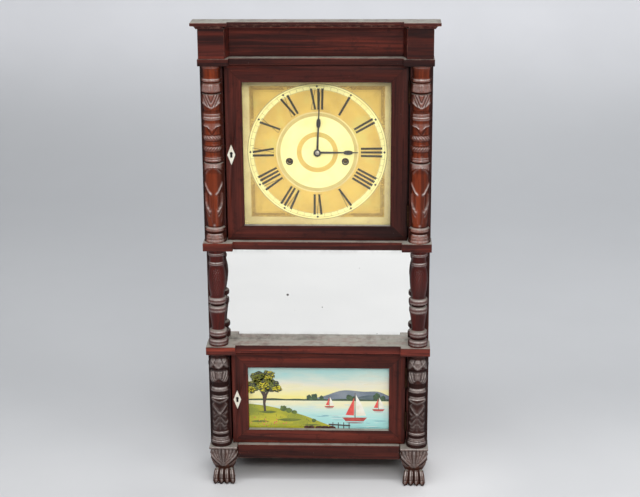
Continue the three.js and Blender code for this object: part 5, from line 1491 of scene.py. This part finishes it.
# Each boat's x, z and size. The shapes are for a boat of size 1 at the origin.
BOATS = ((122, 157, 0.9), (22, 163, 0.7), (74, 138, 1.75))
HULL = ((-15, 0), (14, 0), (10, -4.6), (-11, -4.6))
MAST = ((-0.5, 0), (0.5, 0), (0.3, 31), (-0.3, 31))
SAIL = ((1.2, 2), (13, 2.6), (8, 16), (1.0, 29))
JIB = ((-1.2, 2.6), (-1.0, 25), (-11, 3.4))
TRUNK = [
    (-112, 150), (-107.5, 151), (-108.5, 168), (-105, 186), (-100, 196), (-101.5, 198), (-108, 190),
    (-111, 196), (-113, 208), (-115, 208), (-113.6, 192), (-119, 200), (-120.4, 198), (-114, 184),
    (-113.5, 168),
]
CLUMPS = (
    (-131, 206, 15), (-114, 219, 19), (-95, 208, 16), (-124, 226, 14), (-102, 229, 13), (-112, 203, 13),
    (-84, 200, 9), (-138, 197, 9),
)


class Picture:
    """Layers of glossy paint on the lower door's glass, each a little in front of the one before."""

    def __init__(self):
        self.count = 0

    def lay(self, name, shapes, material):
        self.count += 1
        front = GLASS_Y - 0.03 * self.count - 0.02
        mesh = joined("tablet_" + name, [prism(name, shape, front, GLASS_Y) for shape in shapes])
        add_object(mesh.name, mesh, material, "lower_door")

    def layer(self, name, shapes, colour, other, scale, stretch=(1, 1, 1), fleck=None):
        self.lay(name, shapes, paint("tablet_" + name, colour, other, scale, 0.3, stretch, 1.0, fleck))


def make_tablet():
    dress_node("lower_door_tablet", graded("tablet_sky", TABLET_LOW, TABLET_HIGH, SKY_STOPS, 0.35))
    picture = Picture()
    paint_far_side(picture)
    paint_water(picture)
    paint_boats(picture)
    paint_bank(picture)
    paint_tree(picture)
    paint_plants(picture)


def swell(x, middle, height, half):
    """The height of a rounded hill at x."""
    return height * math.exp(-((x - middle) / half) ** 2)


def far_line(x):
    return HORIZON + 1 + swell(x, 60, 21, 52) + swell(x, 122, 13, 26)


def near_line(x):
    return HORIZON + 0.5 + swell(x, 104, 11, 32)


def bank_line(x):
    return 117 + 50 * (1 - (max(x + TABLET_X, 0) / 177) ** 1.6)


def ground(x0, line, size, foot, step=2.0, seed=0):
    """Land from x0 to the picture's right edge, under a wavy line and down to a level."""
    return wavy(x0, TABLET_X, line, size, step, seed) + [(TABLET_X, foot), (x0, foot)]


def lenses(count, x_range, z_range, half_range, thick_range):
    """Streaks at chance places, with chance sizes."""
    ranges = (x_range, z_range, half_range, thick_range)
    return [lens(*(rng.uniform(low, high) for low, high in ranges)) for _ in range(count)]


def paint_far_side(picture):
    """Two ranges of hills, and the far shore with its trees."""
    far = ground(-60, far_line, 1.2, HORIZON - 2, seed=3)
    near = ground(10, near_line, 0.8, HORIZON - 2, seed=5)
    shore = ground(-TABLET_X, lambda x: HORIZON + 2.2, 1.4, HORIZON - 3, 1.5, 8)
    picture.layer("far_hills", [far], (104, 118, 134), (136, 146, 156), 30, (1, 1, 2))
    picture.layer("near_hills", [near], (70, 90, 100), (104, 120, 120), 40, (1, 1, 2))
    picture.layer("shore", [shore], (34, 66, 44), (62, 92, 50), 90)
    bushes = ((-20, 5), (-9, 7), (6, 4.5), (62, 6), (71, 4), (118, 7.5), (131, 5))
    bushes = [blot(x, HORIZON + 3 + 0.35 * size, size, 1.3, x) for x, size in bushes]
    picture.layer("far_trees", bushes, (30, 58, 40), (70, 104, 52), 160)


def paint_water(picture):
    lake = rectangle(-TABLET_X, TABLET_LOW, TABLET_X, WATER_TOP)
    picture.lay("water", [lake], graded("tablet_water", TABLET_LOW, HORIZON, WATER_STOPS, 0.5))
    ripples = lenses(46, (-135, 140), (116, 168), (6, 22), (0.35, 0.8))
    picture.layer("ripples", ripples, (206, 232, 232), (236, 244, 236), 50, (0.3, 1, 1))
    troughs = lenses(24, (-135, 140), (113, 150), (5, 16), (0.3, 0.6))
    picture.layer("troughs", troughs, (96, 156, 176), (120, 178, 190), 50, (0.3, 1, 1))


def paint_boats(picture):
    def on_boats(corners):
        return [[(x + u * size, z + v * size) for u, v in corners] for x, z, size in BOATS]

    glints = [lens(x, z - 6.6 * size, 11 * size, 0.8 * size) for x, z, size in BOATS]
    picture.layer("sails", on_boats(SAIL), (255, 252, 238), (240, 234, 212), 60, fleck=(206, 196, 170))
    picture.layer("jibs", on_boats(JIB), (246, 84, 72), (226, 62, 54), 60, fleck=(244, 140, 110))
    picture.layer("masts", on_boats(MAST), (78, 50, 34), (104, 70, 46), 90)
    picture.layer("hulls", on_boats(HULL), (206, 72, 56), (168, 46, 40), 90)
    picture.layer("glints", glints, (150, 110, 110), (176, 150, 146), 60, (0.3, 1, 1))


def paint_bank(picture):
    """The near bank with its shadows and stones, and the jetty."""
    bank = wavy(-TABLET_X, 30, bank_line, 1.4, 1.5, seed=12)
    bank += [(34, 115), (0, 112.0), (-60, 110.5), (-TABLET_X, TABLET_LOW)]
    picture.layer("bank", [bank], (206, 196, 22), (142, 152, 18), 26, (0.5, 1, 1.4), (226, 212, 50))
    shade = ((-104, 149, 20, 3.0), (-60, 132, 26, 3.4), (-14, 121, 18, 2.0), (-120, 128, 20, 2.6))
    shade = [lens(*numbers) for numbers in shade]
    picture.layer("bank_shade", shade, (96, 112, 14), (124, 134, 18), 60, (0.5, 1, 1))
    stones = []
    for i in range(5):
        x = 26 - 13 * i + rng.uniform(-2, 2)
        z = 115.4 + rng.uniform(-0.6, 0.8)
        stones.append(blot(x, z, rng.uniform(6.2, 8.4), 0.5, i))
    picture.layer("stones", stones, (96, 40, 24), (54, 24, 18), 80, fleck=(168, 100, 60))
    jetty = [[(20, 121.0), (64, 118.5), (64, 121.2), (20, 123.8)]]
    jetty += [[(x, 113.0), (x + 1.8, 113.0), (x + 1.6, 127.0), (x + 0.1, 127.0)] for x in (28, 39, 50, 61)]
    picture.layer("jetty", jetty, (74, 44, 34), (48, 30, 28), 90)
    shrubs = ((-72, 157, 7.5), (-61, 153, 6.5), (-50, 149, 5.2), (-10, 131, 4.6))
    shrubs = [blot(x, z, size, 0.8, x) for x, z, size in shrubs]
    picture.layer("shrubs", shrubs, (60, 84, 24), (104, 126, 28), 150, fleck=(190, 186, 50))


def paint_tree(picture):
    """A tree whose crown is dark clumps under many dabs of green and yellow."""
    picture.layer("trunk", [TRUNK], (70, 44, 30), (44, 28, 24), 120, (1, 1, 0.4))
    crown = [blot(x, z, size, 0.82, x) for x, z, size in CLUMPS]
    picture.layer("crown_dark", crown, (56, 62, 12), (34, 42, 14), 120)
    dabs = []
    for clump_x, clump_z, size in CLUMPS:
        for _ in range(int(size * 2.6)):
            a = rng.uniform(0, 6.28)
            r = size * math.sqrt(rng.random())
            x, z = clump_x + r * math.cos(a), clump_z + 1.5 + 0.75 * r * math.sin(a)
            dabs.append(blot(x, z, rng.uniform(1.2, 2.5), 0.6, rng.random()))
    green = 2 * (len(dabs) // 3)
    picture.layer("crown_green", dabs[:green], (120, 132, 8), (158, 152, 14), 90)
    picture.layer("crown_light", dabs[green:], (244, 226, 24), (214, 198, 22), 90)


def paint_plants(picture):
    """Tufts of grass and red flowers on the bank."""
    tufts = []
    for _ in range(60):
        x = rng.uniform(-146, 5)
        z = rng.uniform(113, max(114, bank_line(x) - 3))
        tufts.append([(x - 0.5, z), (x + 0.5, z), (x + rng.uniform(-1.5, 1.5), z + rng.uniform(2, 4.5))])
    picture.layer("tufts", tufts, (84, 110, 30), (60, 88, 30), 80)
    petals = []
    for i in range(16):
        x, z = rng.uniform(-140, -62), rng.uniform(118, 138)
        petals.append(blot(x, z, rng.uniform(0.9, 1.5), 1.0, i))
    picture.layer("petals", petals, (214, 84, 62), (236, 130, 90), 90)


def blot(cx, cz, size, squash, seed):
    """A small uneven round shape."""
    noise = random.Random(int(seed * 1000) + int(size * 100))
    steps = 18 if size > 3 else 9
    shape = []
    for i in range(steps):
        x, z = round_place(0, 0, size * (1 + noise.uniform(-0.16, 0.16)), 2 * math.pi * i / steps)
        shape.append((cx + x, cz + squash * z))
    return shape


def lens(cx, cz, half, thick):
    """A streak, pointed at both ends."""
    shares = [i / 4 - 1 for i in range(9)]
    top = [(cx + half * share, cz + thick * (1 - share ** 2)) for share in shares]
    bottom = [(x, 2 * cz - z) for x, z in reversed(top[1:-1])]
    return top + bottom


# Colours of sky and water from bottom to top, each with the share of the height where it stands
SKY_STOPS = (
    (0.0, (255, 240, 140)), (0.48, (255, 242, 146)), (0.6, (254, 244, 178)), (0.76, (240, 236, 214)),
    (1.0, (176, 224, 220)),
)
WATER_STOPS = (
    (0.0, (164, 226, 222)), (0.45, (186, 234, 228)), (0.8, (218, 240, 224)), (1.0, (250, 244, 200)),
)


def graded(name, z0, z1, stops, streaks):
    """Glossy paint whose colour changes with height, in streaks from side to side."""
    look = Look(name, Coat_Weight=1.0, Coat_Roughness=0.03)
    z = look.parts(look.where)[2]
    brush = look.noise(look.scaled((0.22, 1.0, 1.0)), 60.0, 4.0, 0.6)
    streak = look.times(look.minus(brush, 0.5), streaks)
    ramp = look.add("ShaderNodeValToRGB", {0: look.plus(look.step(z, z0 * MM, z1 * MM), streak)})
    elements = ramp.color_ramp.elements
    for position, _ in stops[1:-1]:
        elements.new(position)
    for element, (position, colour) in zip(elements, stops):
        element.position = position
        element.color = linear(*colour)
    look.set("Base Color", ramp.outputs[0])
    look.set("Roughness", look.step(brush, 0.3, 0.7, 0.25, 0.4))
    look.bump(brush, 0.0001, 0.2)
    return look.mat


# Floor, backdrop and lights

SKY_POWER = 1.3
SKY_SEEN = 0.6
BEND_Y, BEND_R = 2.1, 1.5
BACKDROP_HALF = 9.0
BACKDROP_TOP = 4.5
MIDDLE = (0.0, 0.0, 0.5)
WARM, COOL, WHITE = (1.0, 0.985, 0.96), (0.97, 0.985, 1.0), (1.0, 1.0, 1.0)
# Each lamp's name, place, target, width and depth, power and colour
LAMPS = (
    ("key", (0.5, -2.9, 2.1), MIDDLE, (1.6, 0.6), 38.0, WARM),
    ("key_left", (-2.6, -1.9, 2.4), MIDDLE, (1.2, 0.7), 12.0, COOL),
    ("key_right", (2.6, -1.9, 2.4), MIDDLE, (1.2, 0.7), 16.0, WHITE),
    ("overhead", (0.0, -1.0, 3.3), (0.0, -0.3, 0.0), (1.2, 0.6), 16.0, WHITE),
    ("far", (0.4, 1.6, 3.8), (0.4, 3.2, 0.6), (3.0, 1.0), 55.0, WHITE),
)


def backdrop_look():
    """Pale paper with painted light and shade: a painted pool of light near the clock and at the front, the
    floor painted darker towards the wall and on the left, and the wall lighter again.
    """
    look = Look("backdrop", Roughness=0.9, Specular_IOR_Level=0.1)
    x, y, z = look.parts(look.where)[:3]
    # Painted shade: the floor darker with distance from the clock, the wall lighter again.
    colour = look.over(linear(222, 223, 225), y, -0.1, 0.5, 1.0, linear(202, 204, 207))
    colour = look.over(colour, y, 0.6, 2.1, 1.0, linear(187, 189, 192))
    colour = look.over(colour, z, 0.02, 0.5, 1.0, linear(222, 223, 227))
    # Painted light: lighter floor near the clock and towards the front.
    aside = look.step(look.unsigned(look.minus(x, 0.04)), 0.12, 0.42)
    close = look.times(look.minus(1.0, aside), look.step(y, -0.1, 0.25, 1.0, 0.0))
    colour = look.mix(close, colour, linear(245, 245, 246))
    colour = look.mix(look.step(y, -0.7, -0.25, 1.0, 0.0), colour, linear(238, 238, 238))
    # Painted shade: the floor darker on the left.
    left = look.times(look.step(x, -2.2, 1.6, 0.16, 0.0), look.step(z, 0.02, 0.5, 1.0, 0.0))
    colour = look.mix(left, colour, linear(120, 120, 120))
    look.set("Base Color", look.over(colour, look.cloud(3.0), 0.3, 0.7, 0.08, linear(170, 172, 176)))
    return look.mat


def make_backdrop():
    """A floor that bends up into a wall far behind the clock."""
    line = [(-9.0, 0.0), (-4.0, 0.0), (BEND_Y, 0.0)]
    for a in np.linspace(0.1, math.pi / 2, 16):
        line.append((BEND_Y + BEND_R * math.sin(a), BEND_R - BEND_R * math.cos(a)))
    line.append((BEND_Y + BEND_R, BACKDROP_TOP))
    points, faces = [], []
    for i, (y, z) in enumerate(line):
        points += [(-BACKDROP_HALF, y, z), (BACKDROP_HALF, y, z)]
        if i:
            faces.append((2 * i - 2, 2 * i - 1, 2 * i + 1, 2 * i))
    mesh = mesh_from("backdrop", points, faces)
    mesh.shade_smooth()
    mesh.materials.append(backdrop_look())
    floor = bpy.data.objects.new("backdrop", mesh)
    bpy.context.scene.collection.objects.link(floor)


def make_world():
    """Sky light from overhead and in front. Seen straight or in a reflection it is an even pale grey."""
    world = bpy.data.worlds.new("world")
    bpy.context.scene.world = world
    world.use_nodes = True
    nodes, links = world.node_tree.nodes, world.node_tree.links

    def math_node(operation, a, b, clamp=False):
        node = nodes.new("ShaderNodeMath")
        node.operation = operation
        node.use_clamp = clamp
        for socket, value in zip(node.inputs, (a, b)):
            if isinstance(value, bpy.types.NodeSocket):
                links.new(value, socket)
            else:
                socket.default_value = value
        return node.outputs[0]

    direction = nodes.new("ShaderNodeTexCoord")
    parts = nodes.new("ShaderNodeSeparateXYZ")
    links.new(direction.outputs["Generated"], parts.inputs[0])
    frontal = math_node("SUBTRACT", 0.5, math_node("MULTIPLY", parts.outputs["Y"], 1.5), True)
    height = math_node("MAXIMUM", parts.outputs["Z"], 0.0)
    lit = math_node("MULTIPLY", frontal, math_node("MULTIPLY", height, height))
    lit = math_node("ADD", 0.05, math_node("MULTIPLY", lit, SKY_POWER))
    ray = nodes.new("ShaderNodeLightPath").outputs
    seen = math_node("MAXIMUM", ray["Is Camera Ray"], ray["Is Glossy Ray"])
    seen = math_node("MAXIMUM", seen, ray["Is Transmission Ray"])
    unseen = math_node("SUBTRACT", 1.0, seen)
    strength = math_node("ADD", math_node("MULTIPLY", unseen, lit), math_node("MULTIPLY", seen, SKY_SEEN))
    back = nodes["Background"]
    back.inputs["Color"].default_value = (0.97, 0.985, 1.0, 1.0)
    links.new(strength, back.inputs["Strength"])


def area_light(name, place, target, size, power, colour):
    data = bpy.data.lights.new(name, "AREA")
    data.shape = "RECTANGLE"
    data.size, data.size_y = size
    data.energy = power
    data.color = colour
    lamp = bpy.data.objects.new(name, data)
    lamp.location = place
    lamp.rotation_euler = (Vector(target) - Vector(place)).to_track_quat("-Z", "Y").to_euler()
    bpy.context.scene.collection.objects.link(lamp)


make_backdrop()
make_world()
for lamp_numbers in LAMPS:
    area_light(*lamp_numbers)
make_case()
make_door("upper_door", UPPER, 0.3, 1.0, 0.64)
make_door("lower_door", LOWER, 0.8, 1.18, 0.66)
make_small_parts()
for side_name, side_sign in SIDES:
    make_cord(side_name, side_sign)
    make_columns(side_name, side_sign)
    make_foot(side_name, side_sign)
make_dial()
make_hand_nut()
make_tablet()

bpy.context.scene.view_settings.view_transform = "Standard"
